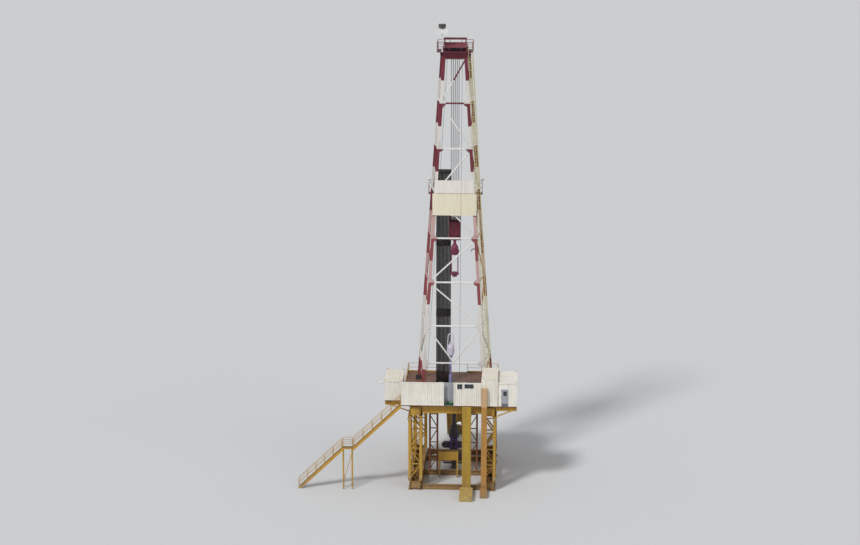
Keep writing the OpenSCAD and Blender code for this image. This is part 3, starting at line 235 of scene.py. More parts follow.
def finish_nodes(paint, *names):
    """Gives CAD nodes their finish."""
    for name in names:
        node = nodes[name]
        node.data.materials.clear()
        node.data.materials.append(paint)


ochre = weathered("ochre_paint", (0.47, 0.27, 0.03), (0.17, 0.09, 0.03), rust=0.7, streak=0.75)
finish_nodes(ochre, "rear_leg_towers", "front_leg_towers", "side_braces")
finish_nodes(ochre, "floor_boxes", "floor_beams", "side_outriggers")
base_paint = weathered("base_paint", (0.37, 0.19, 0.035), (0.14, 0.075, 0.03), rust=0.9, streak=0.8)
finish_nodes(base_paint, "base_boxes", "base_cross_beams")
# Painted shade: the inner frames, deep under the floor, get a dark brown copy of the ochre.
shaded_ochre = weathered("brown_paint", (0.24, 0.085, 0.035), (0.09, 0.045, 0.025), rust=0.9, streak=0.6)
finish_nodes(shaded_ochre, "inner_frames")


def new_piece(name, mesh, paint, body="rig"):
    """Turns a bmesh into an object with one paint that moves with a CAD body, if one is named."""
    piece = bpy.data.objects.new(name, bpy.data.meshes.new(name))
    mesh.to_mesh(piece.data)
    mesh.free()
    piece.data.materials.append(paint)
    bpy.context.scene.collection.objects.link(piece)
    if body:
        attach(piece, body)
    return piece


def join(mesh, solid, smooth=False):
    """Closes a solid's ends, smooths its sides if asked and adds it to a piece's bmesh."""
    bmesh.ops.holes_fill(solid, edges=solid.edges[:])
    bmesh.ops.recalc_face_normals(solid, faces=solid.faces)
    for face in solid.faces:
        face.smooth = smooth and len(face.verts) == 4
    carrier = bpy.data.meshes.new("carrier")
    solid.to_mesh(carrier)
    solid.free()
    mesh.from_mesh(carrier)
    bpy.data.meshes.remove(carrier)


def block(mesh, low, high):
    """Adds a box between two corners."""
    made = bmesh.ops.create_cube(mesh, size=1.0)["verts"]
    size = Vector(high) - Vector(low)
    bmesh.ops.scale(mesh, vec=size, verts=made)
    bmesh.ops.translate(mesh, vec=(Vector(high) + Vector(low)) / 2, verts=made)


def turned(mesh, profile, place, sides, axis="Z"):
    """Adds a round solid, spun from (radius, distance) pairs along an axis through a place."""
    turn = {
        "X": Matrix.Rotation(math.pi / 2, 4, "Y"),
        "Y": Matrix.Rotation(-math.pi / 2, 4, "X"),
        "Z": Matrix.Identity(4),
    }[axis]
    stand = Matrix.Translation(place) @ turn
    solid = bmesh.new()
    line = [solid.verts.new(stand @ Vector((radius, 0, distance))) for radius, distance in profile]
    edges = [solid.edges.new(pair) for pair in zip(line, line[1:])]
    bmesh.ops.spin(
        solid,
        geom=line + edges,
        cent=place,
        axis=turn.to_3x3() @ Vector((0, 0, 1)),
        angle=2 * math.pi,
        steps=sides,
        use_merge=True,
    )
    join(mesh, solid, sides > 6)


def stud(mesh, profile, place, axis, sign, sides=16):
    """Adds a round stud that stands out from a face along an axis, to its plus or minus side."""
    turned(mesh, [(radius, sign * rise) for radius, rise in profile], place, sides, axis)


steel_bright = weathered(
    "bright_steel", (0.42, 0.42, 0.41), (0.2, 0.17, 0.14), rust=0.2, rough=0.35, metal=0.8
)
tower_side = 2.55
tower_rear = -3.79
column_xs = (1.825, 2.475)
column_ys = (-3.715, -3.065, 1.915, 2.565)
plate_zs = (0.74, 4.35)
plate_half_w = 0.09
plate_half_h = 0.13
pin_profile = [(0.055, 0), (0.055, 0.02), (0.035, 0.022), (0.035, 0.05)]
lug_ys = (-2.4, 0.0, 1.2)
lug_zs = (0.42, 4.98)
lug_out = 0.08
lug_half_t = 0.012
lug_half_h = 0.06
pins = bmesh.new()
lugs = bmesh.new()
for side in (-1, 1):
    for z in plate_zs:
        for y in column_ys:
            stud(pins, pin_profile, (side * tower_side, y, z), "X", side)
            inner, outer = sorted((side * (tower_side - 0.005), side * (tower_side + 0.015)))
            low = (inner, y - plate_half_w, z - plate_half_h)
            block(lugs, low, (outer, y + plate_half_w, z + plate_half_h))
        for x in (side * column_xs[0], side * column_xs[1]):
            stud(pins, pin_profile, (x, tower_rear - 0.012, z), "Y", -1)
            low = (x - plate_half_w, tower_rear - 0.014, z - plate_half_h)
            block(lugs, low, (x + plate_half_w, tower_rear + 0.005, z + plate_half_h))
    for y in lug_ys:
        for z in lug_zs:
            inner, outer = sorted((side * tower_side, side * (tower_side + lug_out)))
            low = (inner, y - lug_half_t, z - lug_half_h)
            block(lugs, low, (outer, y + lug_half_t, z + lug_half_h))
            turned(pins, [(0.02, -0.03), (0.02, 0.03)], (side * 2.6, y, z), 12, "Y")
new_piece("column_pins", pins, steel_bright)
new_piece("pin_plates_and_lugs", lugs, ochre)


# Stairs and work stand
# Two flights, the landing between them and the stand beside the preventers, welded from ochre
# channels with treads and decks of open bar grating.


def grated(bar, gap, top=None):
    """Colours open grating on level faces, at one height or at any: bars over gaps of painted
    shade.
    """
    bar_pitch, bar_gap = 0.04, 0.3
    rod_pitch, rod_gap = 0.1, 0.12

    def bars(tree, place):
        x, y, z = parts(tree, place)
        solid = []
        for run, pitch, share in ((x, bar_pitch, bar_gap), (y, rod_pitch, rod_gap)):
            part = worked(tree, "FRACT", worked(tree, "DIVIDE", run, pitch))
            solid.append(worked(tree, "LESS_THAN", part, share))
        facing = tree.nodes.new("ShaderNodeNewGeometry").outputs["Normal"]
        solid.append(worked(tree, "COMPARE", parts(tree, facing)["Z"], 0.0, 0.7))
        if top is not None:
            at_top = worked(tree, "COMPARE", z, top, 0.03)
            solid.append(worked(tree, "SUBTRACT", 1.0, at_top))
        # The gaps take painted shade, the dark seen below open grating.
        return mixed(tree, largest(tree, solid), gap, bar)

    return bars


# The second tone is painted shade in the grating's gaps.
landing_tones = grated((0.53, 0.30, 0.04), (0.12, 0.08, 0.03))
landing_paint = weathered("landing_grating", landing_tones, (0.17, 0.09, 0.03), rust=0.6)
finish_nodes(landing_paint, "stair_landing", "upper_stair", "lower_stair", "bop_work_stand")


# Preventer stack
# Forged bodies and flanges in dark steel, with nuts on every flange, painted ribs on the bonnets,
# and rigid hydraulic pipes that run up the rear.

dark_steel = weathered(
    "dark_steel", (0.05, 0.05, 0.055), (0.10, 0.07, 0.045), rust=0.4, rough=0.45, metal=0.4
)
finish_nodes(dark_steel, "bop_stack", "bell_nipple")

bolt_circle = 0.169
bolts_round = 20
nut_on_stud = [(0.019, 0), (0.019, 0.022), (0.011, 0.022), (0.011, 0.036)]
nuts_above = (0.084, 0.644, 1.234, 1.934)
nuts_below = (0.476, 1.066, 1.766)
nuts = bmesh.new()
for z in nuts_above + nuts_below:
    up = 1 if z in nuts_above else -1
    for i in range(bolts_round):
        angle = 2 * math.pi * (i + 0.5) / bolts_round
        spot = (bolt_circle * math.cos(angle), bolt_circle * math.sin(angle), z)
        stud(nuts, nut_on_stud, spot, "Z", up, 6)
bonnet_end = 0.665
for ram in (0.8, 1.5):
    for x in (-bonnet_end, bonnet_end):
        for y in (-0.12, 0.12):
            for z in (ram - 0.13, ram + 0.13):
                turned(nuts, [(0.02, -0.02), (0.02, 0.02)], (x, y, z), 6, "X")
new_piece("preventer_nuts", nuts, steel_bright)


def pipe_run(mesh, points, radius, sides=10):
    """Adds a rigid pipe, a round face extruded through points and turned halfway at corners."""
    points = [Vector(point) for point in points]
    legs = [(end - start).normalized() for start, end in zip(points, points[1:])]
    corners = [(back + ahead).normalized() for back, ahead in zip(legs, legs[1:])]
    side = legs[0].orthogonal()
    stands = []
    for point, aim in zip(points, [legs[0], *corners, legs[-1]]):
        side = (side - aim * side.dot(aim)).normalized()
        stand = Matrix((side.cross(aim), side, aim)).transposed().to_4x4()
        stands.append(Matrix.Translation(point) @ stand)
    pipe = bmesh.new()
    bmesh.ops.create_circle(pipe, cap_ends=True, segments=sides, radius=radius, matrix=stands[0])
    end = pipe.faces[:]
    for back, ahead in zip(stands, stands[1:]):
        end = bmesh.ops.extrude_discrete_faces(pipe, faces=end)["faces"]
        bmesh.ops.transform(pipe, matrix=ahead @ back.inverted(), verts=end[0].verts[:])
    join(mesh, pipe, True)


purple = weathered("purple_paint", (0.17, 0.10, 0.36), (0.08, 0.06, 0.1), rust=0.15)
riser_y = -0.3
riser_foot = 0.72
hydraulics = bmesh.new()
for i, x in enumerate((-0.2, -0.12, 0.12, 0.2)):
    head = 2.0 + 0.1 * (i % 2)
    route = [(x, -0.2, riser_foot), (x, riser_y, riser_foot)]
    route += [(x, riser_y, head), (x, riser_y + 0.06, head + 0.12)]
    pipe_run(hydraulics, route, 0.022)
for z in (1.0, 1.45, 1.9):
    block(hydraulics, (-0.24, riser_y - 0.035, z), (0.24, riser_y - 0.02, z + 0.05))
new_piece("hydraulic_pipes", hydraulics, purple)

ribs = bmesh.new()
for ram_foot in (0.56, 1.26):
    for side in (-1, 1):
        inner, outer = sorted((side * 0.28, side * 0.56))
        for rise in (0.1, 0.24, 0.38):
            z = ram_foot + rise
            block(ribs, (inner, -0.16, z - 0.02), (outer, 0.16, z + 0.02))
new_piece("bonnet_ribs", ribs, purple)


# Trough and chase
# Two sheet-metal columns behind the substructure, each closed with bolted covers: the wide cable
# trough, olive over a light foot, and the narrow pipe chase, paler above the deck.


def two_tone(seam, lower, upper):
    """Colours a piece one way below a height and another way above it."""

    def parted(tree, place):
        over = worked(tree, "GREATER_THAN", parts(tree, place)["Z"], seam)
        return mixed(tree, over, lower, upper)

    return parted


trough_tones = two_tone(0.33, (0.60, 0.42, 0.10), (0.42, 0.26, 0.025))
trough_paint = weathered("trough_paint", trough_tones, (0.17, 0.10, 0.03), rust=0.6, streak=0.7)
finish_nodes(trough_paint, "cable_trough")
chase_tones = two_tone(5.25, (0.46, 0.23, 0.05), (0.58, 0.38, 0.20))
chase_paint = weathered("chase_paint", chase_tones, (0.18, 0.09, 0.03), rust=0.7, streak=0.7)
finish_nodes(chase_paint, "pipe_chase")

covers_from = 0.4
cover_gap = 0.03
cover_in = 0.03
cover_out = 0.008
bolt_in = 0.06
cover_bolts = bmesh.new()
for name, paint, left, right, y, top, count in (
    ("trough_covers", trough_paint, 0.6, 1.12, -4.1503, 5.1, 7),
    ("chase_covers", chase_paint, 1.71, 2.04, -4.1703, 6.3, 9),
):
    covers = bmesh.new()
    pitch = (top - covers_from) / count
    for i in range(count):
        foot = covers_from + i * pitch
        head = foot + pitch - cover_gap
        low = (left + cover_in, y - cover_out, foot)
        block(covers, low, (right - cover_in, y + 0.004, head))
        for x in (left + bolt_in, right - bolt_in):
            for z in (foot + bolt_in, head - bolt_in):
                spot = (x, y - cover_out, z)
                stud(cover_bolts, [(0.014, 0), (0.014, 0.012)], spot, "Y", -1, 6)
    new_piece(name, covers, paint)
new_piece("cover_bolts", cover_bolts, steel_bright)


# Drill floor
# A deck of worn plates with toe boards and handrails along its open edges. The rotary table sits
# in the middle, with four drive sockets, a ring of bolts, and bolts along its sides on the deck.


def from_centre(tree, place, centre, kept):
    """Distance of a place from a centre, measured along the kept axes only."""
    for operation, value in (("SUBTRACT", centre), ("MULTIPLY", kept), ("LENGTH", None)):
        step = tree.nodes.new("ShaderNodeVectorMath")
        step.operation = operation
        if value:
            step.inputs[1].default_value = value
        tree.links.new(place, step.inputs[0])
        place = step.outputs["Value" if operation == "LENGTH" else "Vector"]
    return place


def deck_plates(tree, place):
    """Plates of 1.2 by 0.6 m with dark seams, each of its own tone, and worn by the well."""
    plates = tree.nodes.new("ShaderNodeTexBrick")
    plates.inputs["Scale"].default_value = 1.0
    plates.inputs["Brick Width"].default_value = 1.2
    plates.inputs["Row Height"].default_value = 0.6
    plates.inputs["Mortar Size"].default_value = 0.006
    plates.inputs["Color1"].default_value = (0.15, 0.064, 0.038, 1)
    plates.inputs["Color2"].default_value = (0.20, 0.092, 0.052, 1)
    plates.inputs["Mortar"].default_value = (0.03, 0.02, 0.015, 1)
    tree.links.new(place, plates.inputs["Vector"])
    far = from_centre(tree, place, (0, 0, 0), (1, 1, 0))
    worn = ramp(tree, far, 1.9, 0.4, 0.6)
    return mixed(tree, worn, plates.outputs["Color"], (0.15, 0.12, 0.10))


deck_steel = weathered("deck_plate", deck_plates, (0.06, 0.045, 0.035), rust=0.9, streak=0.3)
finish_nodes(deck_steel, "drill_floor")
finish_nodes(ochre, "floor_handrails")
finish_nodes(dark_steel, "rotary_table")

deck_low, deck_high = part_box("drill_floor")
cabin_low, cabin_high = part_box("left_cabin_walls")
deck_top = 5.25
toe_h = 0.075
toe_t = 0.008
toe_in = 0.012
stair_gap = deck_low.y + 0.55
ramp_gap = 0.72
rear_of_right = -1.6
left, right, front = deck_low.x + toe_in, deck_high.x - toe_in, deck_high.y - toe_in
edges = bmesh.new()
for low, high in (
    ((left, stair_gap), (left + toe_t, cabin_low.y - 0.03)),
    ((left, cabin_high.y + 0.03), (left + toe_t, front)),
    ((left, front - toe_t), (-ramp_gap, front)),
    ((ramp_gap, front - toe_t), (right, front)),
    ((right - toe_t, rear_of_right), (right, front)),
):
    block(edges, (*low, deck_top), (*high, deck_top + toe_h))
new_piece("toe_boards", edges, ochre)

table_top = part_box("rotary_table")[1].z
table_bolts = bmesh.new()
for count, first, circle, size, rise, sides in (
    (4, 45, 0.215, 0.026, 0.002, 16),
    (24, 0, 0.265, 0.012, 0.01, 6),
):
    for i in range(count):
        turn = math.radians(first + 360 * i / count)
        spot = (circle * math.cos(turn), circle * math.sin(turn), table_top)
        turned(table_bolts, [(size, 0), (size, rise)], spot, sides)
for x in (-0.4, 0.4):
    for y in (-0.48, -0.16, 0.16, 0.48):
        turned(table_bolts, [(0.016, 0), (0.016, 0.012)], (x, y, deck_top), 6)
new_piece("table_bolts", table_bolts, steel_bright)


# Wind walls
# Ribbed sheet in off-white paint along the rear edge, with a grey recess behind the drum. Each
# wall has a folded cap, a base angle and end posts, and two windows have a frame and a mullion.

cream = weathered("cream_sheet", (0.80, 0.765, 0.69), (0.42, 0.37, 0.30), rust=0.1, streak=0.4)
finish_nodes(cream, "rear_wall_left", "rear_wall_right")
grey = weathered("grey_paint", (0.34, 0.36, 0.38), (0.14, 0.12, 0.10), rust=0.3)
finish_nodes(grey, "recess_panel")
glass = plain("window_glass", {"Base Color": (0.03, 0.04, 0.045, 1), "Roughness": 0.08})
finish_nodes(glass, "wall_windows")

wall_trim = bmesh.new()
wall_y = deck_low.y
wall_top = 6.625
bay_top = 6.791
cap_h = 0.045
post_w = 0.04
for left, right, top in (
    (-2.95, -0.465, wall_top),
    (0.095, 1.695, wall_top),
    (1.702, 2.645, bay_top),
):
    block(wall_trim, (left, wall_y + 0.004, top - cap_h), (right, wall_y + 0.06, top + 0.006))
    block(wall_trim, (left, wall_y - 0.006, deck_top), (right, wall_y + 0.02, deck_top + 0.05))
    for x in (left, right - post_w):
        block(wall_trim, (x, wall_y - 0.008, deck_top), (x + post_w, wall_y + 0.058, top))
new_piece("wall_trim", wall_trim, cream)


def frame_round(mesh, left, right, foot, head, near, far, width, along="X"):
    """Adds four bars round an opening in an upright wall that runs along X or Y."""
    for start, end, low, high in (
        (left - width, right + width, foot - width, foot),
        (left - width, right + width, head, head + width),
        (left - width, left, foot, head),
        (right, right + width, foot, head),
    ):
        if along == "X":
            block(mesh, (start, near, low), (end, far, high))
        else:
            block(mesh, (near, start, low), (far, end, high))


frame_paint = weathered("frame_paint", (0.12, 0.13, 0.14), (0.08, 0.07, 0.06), rust=0.2)
window_frames = bmesh.new()
window_head = wall_top - 0.09
mullion_w = 0.016
for left, width, height in ((0.32, 0.25, 0.25), (0.745, 0.475, 0.2)):
    right = left + width
    foot = window_head - height
    frame_round(window_frames, left, right, foot, window_head, wall_y - 0.012, wall_y + 0.03, 0.02)
    low = ((left + right - mullion_w) / 2, wall_y + 0.02, foot)
    block(window_frames, low, ((left + right + mullion_w) / 2, wall_y + 0.03, window_head))
new_piece("wall_window_frames", window_frames, frame_paint)


# Cabins
# Sheet-metal cabins on either side, with corner posts, a drip edge, standing seams on the roof and
# lifting eyes. The doghouse door swings with its frame, kick plate and handle, and with a pane
# that has the clearer glass of the CAD pack.

finish_nodes(cream, "left_cabin_walls", "doghouse_walls", "doghouse_roof")
aged_cream = weathered("aged_cream", (0.76, 0.71, 0.60), (0.42, 0.35, 0.26), rust=0.15, streak=0.45)
finish_nodes(aged_cream, "left_cabin_roof", "side_canopy")
finish_nodes(deck_steel, "left_cabin_floor", "doghouse_floor")
finish_nodes(grey, "left_cabin_door", "doghouse_door")

door_face = -3.949
pane_left, pane_right, pane_foot, pane_head = 2.98, 3.152, 5.9, 6.152
pane_lap = 0.003
door_pane = bmesh.new()
low = (pane_left - pane_lap, door_face + 0.015, pane_foot - pane_lap)
block(door_pane, low, (pane_right + pane_lap, door_face + 0.021, pane_head + pane_lap))
new_piece("door_pane", door_pane, bpy.data.materials["window_glass"], "door")
door_trim = bmesh.new()
pane_hole = (pane_left, pane_right, pane_foot, pane_head)
frame_round(door_trim, *pane_hole, door_face - 0.007, door_face, 0.018)
block(door_trim, (2.88, door_face - 0.006, 5.27), (3.24, door_face - 0.0005, 5.42))
new_piece("door_trim", door_trim, frame_paint, "door")
handle = bmesh.new()
handle_x = 3.2
handle_z = 5.76
grip_l = 0.1
grip_half_t = 0.008
spindle = [(0.022, 0), (0.022, 0.006), (0.008, 0.008), (0.008, 0.035)]
stud(handle, spindle, (handle_x, door_face, handle_z), "Y", -1)
low = (handle_x - grip_l, door_face - 0.036, handle_z - grip_half_t)
block(handle, low, (handle_x + grip_half_t, door_face - 0.028, handle_z + grip_half_t))
new_piece("door_handle", handle, steel_bright, "door")

hinges = bmesh.new()
for z in (5.36, 5.8, 6.2):
    turned(hinges, [(0.01, z - 0.035), (0.01, z + 0.035)], (2.853, -3.958, 0), 12)
new_piece("door_hinges", hinges, frame_paint)

dog_frame = bmesh.new()
frame_round(dog_frame, -3.15, -2.45, 5.8, 6.25, 2.684, 2.70, 0.025, "Y")
new_piece("doghouse_window_frame", dog_frame, frame_paint)

cabin_trim = bmesh.new()
corner_in = 0.035
corner_out = 0.005
for low, high in (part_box("doghouse_walls"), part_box("left_cabin_walls")):
    rear = max(low.y, wall_y)
    for x, x_in in ((low.x, 1), (high.x, -1)):
        for y, y_in in ((rear, 1), (high.y, -1)):
            near_x, far_x = sorted((x + x_in * corner_in, x - x_in * corner_out))
            near_y, far_y = sorted((y + y_in * corner_in, y - y_in * corner_out))
            block(cabin_trim, (near_x, near_y, low.z + 0.002), (far_x, far_y, high.z - 0.002))
drip_h = 0.022
drip_t = 0.004
for low, high in (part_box("doghouse_roof"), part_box("left_cabin_roof")):
    inside = (low.x + drip_t, high.x - drip_t, low.y + drip_t, high.y - drip_t)
    frame_low, frame_high = low.z - drip_h, low.z
    for x0, x1, y0, y1 in (
        (low.x, high.x, low.y, inside[2]),
        (low.x, high.x, inside[3], high.y),
        (low.x, inside[0], inside[2], inside[3]),
        (inside[1], high.x, inside[2], inside[3]),
    ):
        block(cabin_trim, (x0, y0, frame_low), (x1, y1, frame_high))
new_piece("cabin_trim", cabin_trim, cream)

roof_seams = bmesh.new()
eyes = bmesh.new()
seam_half_w = 0.006
seam_n = 4
for name in ("doghouse_roof", "left_cabin_roof"):
    low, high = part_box(name)
    roof = high.z - 0.002
    for i in range(1, seam_n + 1):
        x = low.x + (high.x - low.x) * i / (seam_n + 1)
        seam_low = (x - seam_half_w, low.y + 0.01, roof)
        block(roof_seams, seam_low, (x + seam_half_w, high.y - 0.01, high.z + 0.018))
    for x in (low.x + 0.06, high.x - 0.06):
        for y in (low.y + 0.08, high.y - 0.08):
            block(eyes, (x - 0.04, y - 0.04, roof), (x + 0.04, y + 0.04, high.z + 0.008))
            bent = ((-0.025, 0.004), (-0.025, 0.05), (0.025, 0.05), (0.025, 0.004))
            pipe_run(eyes, [(x + across, y, high.z + rise) for across, rise in bent], 0.007, 8)
new_piece("roof_seams", roof_seams, cream)
new_piece("lifting_eyes", eyes, ochre)


# Pipe ramp
# A steel slide from the ground to the front edge of the floor, with five bright rub strips worn
# by the pipe that is drawn up it.

finish_nodes(ochre, "v_door_ramp")


def strip(mesh, points, across, thick):
    """Adds a strip as wide as the vector across, extruded along points and thickened."""
    ribbon = bmesh.new()
    edges = [ribbon.edges.new([ribbon.verts.new(points[0] + across * a) for a in (-0.5, 0.5)])]
    for start, end in zip(points, points[1:]):
        made = bmesh.ops.extrude_edge_only(ribbon, edges=edges)["geom"]
        edges = [part for part in made if isinstance(part, bmesh.types.BMEdge)]
        moved = [part for part in made if isinstance(part, bmesh.types.BMVert)]
        bmesh.ops.translate(ribbon, vec=end - start, verts=moved)
    for part in bmesh.ops.extrude_face_region(ribbon, geom=ribbon.faces[:])["geom"]:
        if isinstance(part, bmesh.types.BMVert):
            part.co += thick(part.co)
    join(mesh, ribbon)


ramp_angle = math.radians(55)
down = Vector((0, math.cos(ramp_angle), -math.sin(ramp_angle)))
out = Vector((0, math.sin(ramp_angle), math.cos(ramp_angle)))
rub_from_edge = 0.06
ramp_head = Vector((0, 2.7503, deck_top)) + down * rub_from_edge
ramp_l = (deck_top - rub_from_edge) / math.sin(ramp_angle)
rub = bmesh.new()
for x in (-0.48, -0.24, 0.0, 0.24, 0.48):
    head = ramp_head + Vector((x, 0, 0))
    strip(rub, [head, head + down * ramp_l], Vector((0.05, 0, 0)), lambda p: out * 0.008)
new_piece("ramp_rub_strips", rub, steel_bright)


# Drawworks and winch
# Cooling fins, a terminal box and a bearing cover on each motor, and bolts round each gear
# housing. The little green air winch in the recess is wound with rope.

finish_nodes(grey, "drawworks")
green = weathered("green_paint", (0.06, 0.22, 0.09), (0.05, 0.06, 0.04), rust=0.3)
finish_nodes(green, "air_winch")
rope = weathered("wire_rope", (0.035, 0.028, 0.028), (0.03, 0.02, 0.018), rust=0.3, metal=0.3)
finish_nodes(rope, "drawworks_drum")

works = bmesh.new()
housing_bolts = bmesh.new()
drum_pin = Vector((0, -3.05, 5.95))
motor_in = 0.81
motor_out = 1.45
motor_z = 5.83
fin_n = 14
fin = [(0.2, -0.006), (0.236, -0.006), (0.236, 0.006), (0.2, 0.006)]
motor_cover = [(0.17, -0.02), (0.17, 0.02), (0.12, 0.035)]
box_half = 0.09
ring_n = 16
ring_r = 0.36
lowest_bolt = 5.62
for side in (-1, 1):
    for i in range(fin_n):
        x = side * (motor_in + 0.05 + i * (motor_out - motor_in - 0.12) / (fin_n - 1))
        turned(works, fin, (x, drum_pin.y, motor_z), 32, "X")
    x = side * (motor_in + motor_out) / 2
    low = (x - box_half, drum_pin.y - box_half, motor_z + 0.2)
    block(works, low, (x + box_half, drum_pin.y + box_half, motor_z + 0.33))
    turned(works, motor_cover, (side * motor_out, drum_pin.y, motor_z), 32, "X")
    for i in range(ring_n):
        angle = 2 * math.pi * i / ring_n
        off = Vector((side * 0.812, ring_r * math.cos(angle), ring_r * math.sin(angle)))
        spot = drum_pin + off
        if spot.z > lowest_bolt:
            turned(housing_bolts, [(0.014, -0.008), (0.014, 0.008)], spot, 6, "X")
new_piece("motor_fins", works, grey)
new_piece("housing_bolts", housing_bolts, steel_bright)

winch_low, winch_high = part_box("air_winch")
winch_pin = (winch_low.x, (winch_low.y + winch_high.y) / 2, winch_low.z + 0.15)
winch_pitch = 0.0148
winch_coils = []
for i in range(12):
    x = 0.052 + i * winch_pitch
    winch_coils += [(0.0575, x), (0.066, x + winch_pitch / 2)]
winch_rope = bmesh.new()
turned(winch_rope, winch_coils, winch_pin, 24, "X")
new_piece("rope_on_air_winch", winch_rope, rope)


# Mast
# H sections in aviation bands of dark red and white, each half a bay tall. Under the board the
# red has faded, and the white is painted darker as shade on the narrow legs and pinker with the
# red. The legs are plain over the lowest doors. The rear bars are white, but dark at the highest
# level bar and over the middle of the top bay.

mast_top = 25.0
bay_h = 2.625
band_height = bay_h / 2
band_foot = mast_top - 13 * band_height
shaded_white_foot = band_foot + 2 * band_height
board_at = 16.8
fading = 3.0


def banded(tree, place):
    """Red and pale bands: pale over half of each step of two, and over the lowest doors."""
    z = parts(tree, place)["Z"]
    steps = worked(tree, "SUBTRACT", z, band_foot - 20 * band_height)
    part = worked(tree, "FRACT", worked(tree, "DIVIDE", steps, 2 * band_height))
    over_doors = worked(tree, "COMPARE", z, band_foot, band_height)
    pale = largest(tree, [worked(tree, "GREATER_THAN", part, 0.5), over_doors])
    faded = ramp(tree, z, board_at, board_at - fading)
    red = mixed(tree, faded, (0.15, 0.014, 0.030), (0.26, 0.055, 0.06))
    # Painted shade: between two bands over the doors and the board, the white is darker and pinker.
    middle, reach = (board_at + shaded_white_foot) / 2, (board_at - shaded_white_foot) / 2
    stained = worked(tree, "COMPARE", z, middle, reach)
    light = mixed(tree, stained, (0.72, 0.68, 0.64), (0.55, 0.36, 0.34))
    return mixed(tree, pale, red, light)


def dark_on_top(tree, place):
    """White bars, dark in the upper half of the top bay and at the level bar under it."""
    z = parts(tree, place)["Z"]
    half_bay = (mast_top - band_height / 2, band_height / 2)
    near = [worked(tree, "COMPARE", z, *span) for span in (half_bay, (mast_top - bay_h, 0.07))]
    return mixed(tree, largest(tree, near), (0.80, 0.79, 0.77), (0.13, 0.018, 0.030))


bands = weathered("banded_paint", banded, (0.20, 0.10, 0.08), rust=0.25)
finish_nodes(bands, "mast_left_side", "mast_right_side")
bar_paint = weathered("bar_paint", dark_on_top, (0.42, 0.36, 0.30), rust=0.2)
finish_nodes(bar_paint, "mast_rear_bracing")
finish_nodes(dark_steel, "mast_shoes")
finish_nodes(grey, "standpipe")


# Mast bolts
# Six bolts through each gusset of the rear face, where the level bars and the diagonals meet the
# legs, which lean in from the floor to the crown.


def rear_leg(side, z):
    """Centre of a rear leg of the mast at a height."""
    share = (z - deck_top) / (mast_top - deck_top)
    return Vector((side * (1.82 - 1.195 * share), -(1.3 - 0.75 * share), z))


mast_bolts = bmesh.new()
gusset_holes = ((-0.12, 0.12), (-0.05, 0.12), (0.05, 0.12), (0.12, 0.12), (-0.05, 0.2), (0.05, 0.2))
gusset_face = -0.087
level_bars = [7.0] + [mast_top - i * bay_h for i in range(6, 0, -1)]
for side in (-1, 1):
    for z in level_bars:
        for rise, reach_in in gusset_holes:
            spot = rear_leg(side, z + rise) + Vector((-side * reach_in, gusset_face, 0))
            stud(mast_bolts, [(0.013, 0), (0.013, 0.012)], spot, "Y", -1, 6)
new_piece("gusset_bolts", mast_bolts, steel_bright)


# Racking board and weather panel
# A board of brown grating, sheltered from behind by two bands of ribbed sheet, the upper one
# paler. Three rails between the rear legs carry the sheet, with a clip at each end.

# The second tone is painted shade in the grating's gaps.
board_tones = grated((0.24, 0.085, 0.035), (0.06, 0.03, 0.02))
board_paint = weathered("board_grating", board_tones, (0.09, 0.045, 0.025), rust=0.8)
finish_nodes(board_paint, "racking_board")
panel_tones = two_tone(17.166, (0.82, 0.76, 0.60), (0.83, 0.78, 0.73))
panel_paint = weathered("panel_paint", panel_tones, (0.50, 0.42, 0.30), rust=0.15, streak=0.3)
finish_nodes(panel_paint, "shelter_panel")
white = weathered("white_paint", (0.78, 0.78, 0.76), (0.42, 0.36, 0.30), rust=0.2)

rail_h = 0.07
rail_t = 0.008
clip_w = 0.08
panel_rails = bmesh.new()
for z in (16.05, 17.02, 17.8):
    for foot, head, flange in ((z, z + rail_h, 0.0), (z + 0.06, z + rail_h, 0.045)):
        spot = rear_leg(1, (foot + head) / 2)
        half = spot.x - 0.095
        y = spot.y - 0.09
        block(panel_rails, (-half, y, foot), (half, y + rail_t + flange, head))
        if not flange:
            for x in (-half, half - clip_w):
                block(panel_rails, (x, y, z - 0.03), (x + clip_w, y + 0.014, z + 0.1))
new_piece("panel_rails", panel_rails, white)


# Racked drill pipe
# Eleven by six stands of three lengths each, with thicker tool joints where the lengths meet,
# standing on the floor left of the well and leaning on the fingers of the racking board.

pipe_r = 0.032
joint_r = 0.039
shank_r = pipe_r * 0.92
stand_low, stand_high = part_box("drill_pipe")
length_of_one = (stand_high.z - stand_low.z) / 3
pipe_pitch = 0.08
pipes_across = 11
pipes_deep = 6

stand_profile = []
for i in range(3):
    foot = i * length_of_one
    head = foot + length_of_one
    stand_profile += [
        (joint_r, foot + 0.004),
        (joint_r, foot + 0.15),
        (shank_r, foot + 0.19),
        (shank_r, head - 0.22),
        (joint_r, head - 0.17),
        (joint_r, head - 0.002),
    ]
rim = stand_profile[-1][1]
stand_profile += [(pipe_r * 0.75, rim), (pipe_r * 0.6, rim - 0.07)]

stands = bmesh.new()
for column in range(pipes_across):
    for row in range(pipes_deep):
        x = stand_low.x + pipe_r + column * pipe_pitch
        y = stand_low.y + pipe_r + row * pipe_pitch
        turned(stands, stand_profile, (x, y, stand_low.z), 10)
pipe_steel = weathered(
    "pipe_steel", (0.026, 0.022, 0.021), (0.07, 0.045, 0.03), rust=0.35, rough=0.55, metal=0.3
)
racked_pipe = new_piece("racked_pipe", stands, pipe_steel)
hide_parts("drill_pipe")


# Ladder cage
# The pale yellow ladder climbs the right rear leg. Flat hoops behind it, joined by five straps,
# guard it from just above head height up to the crown.

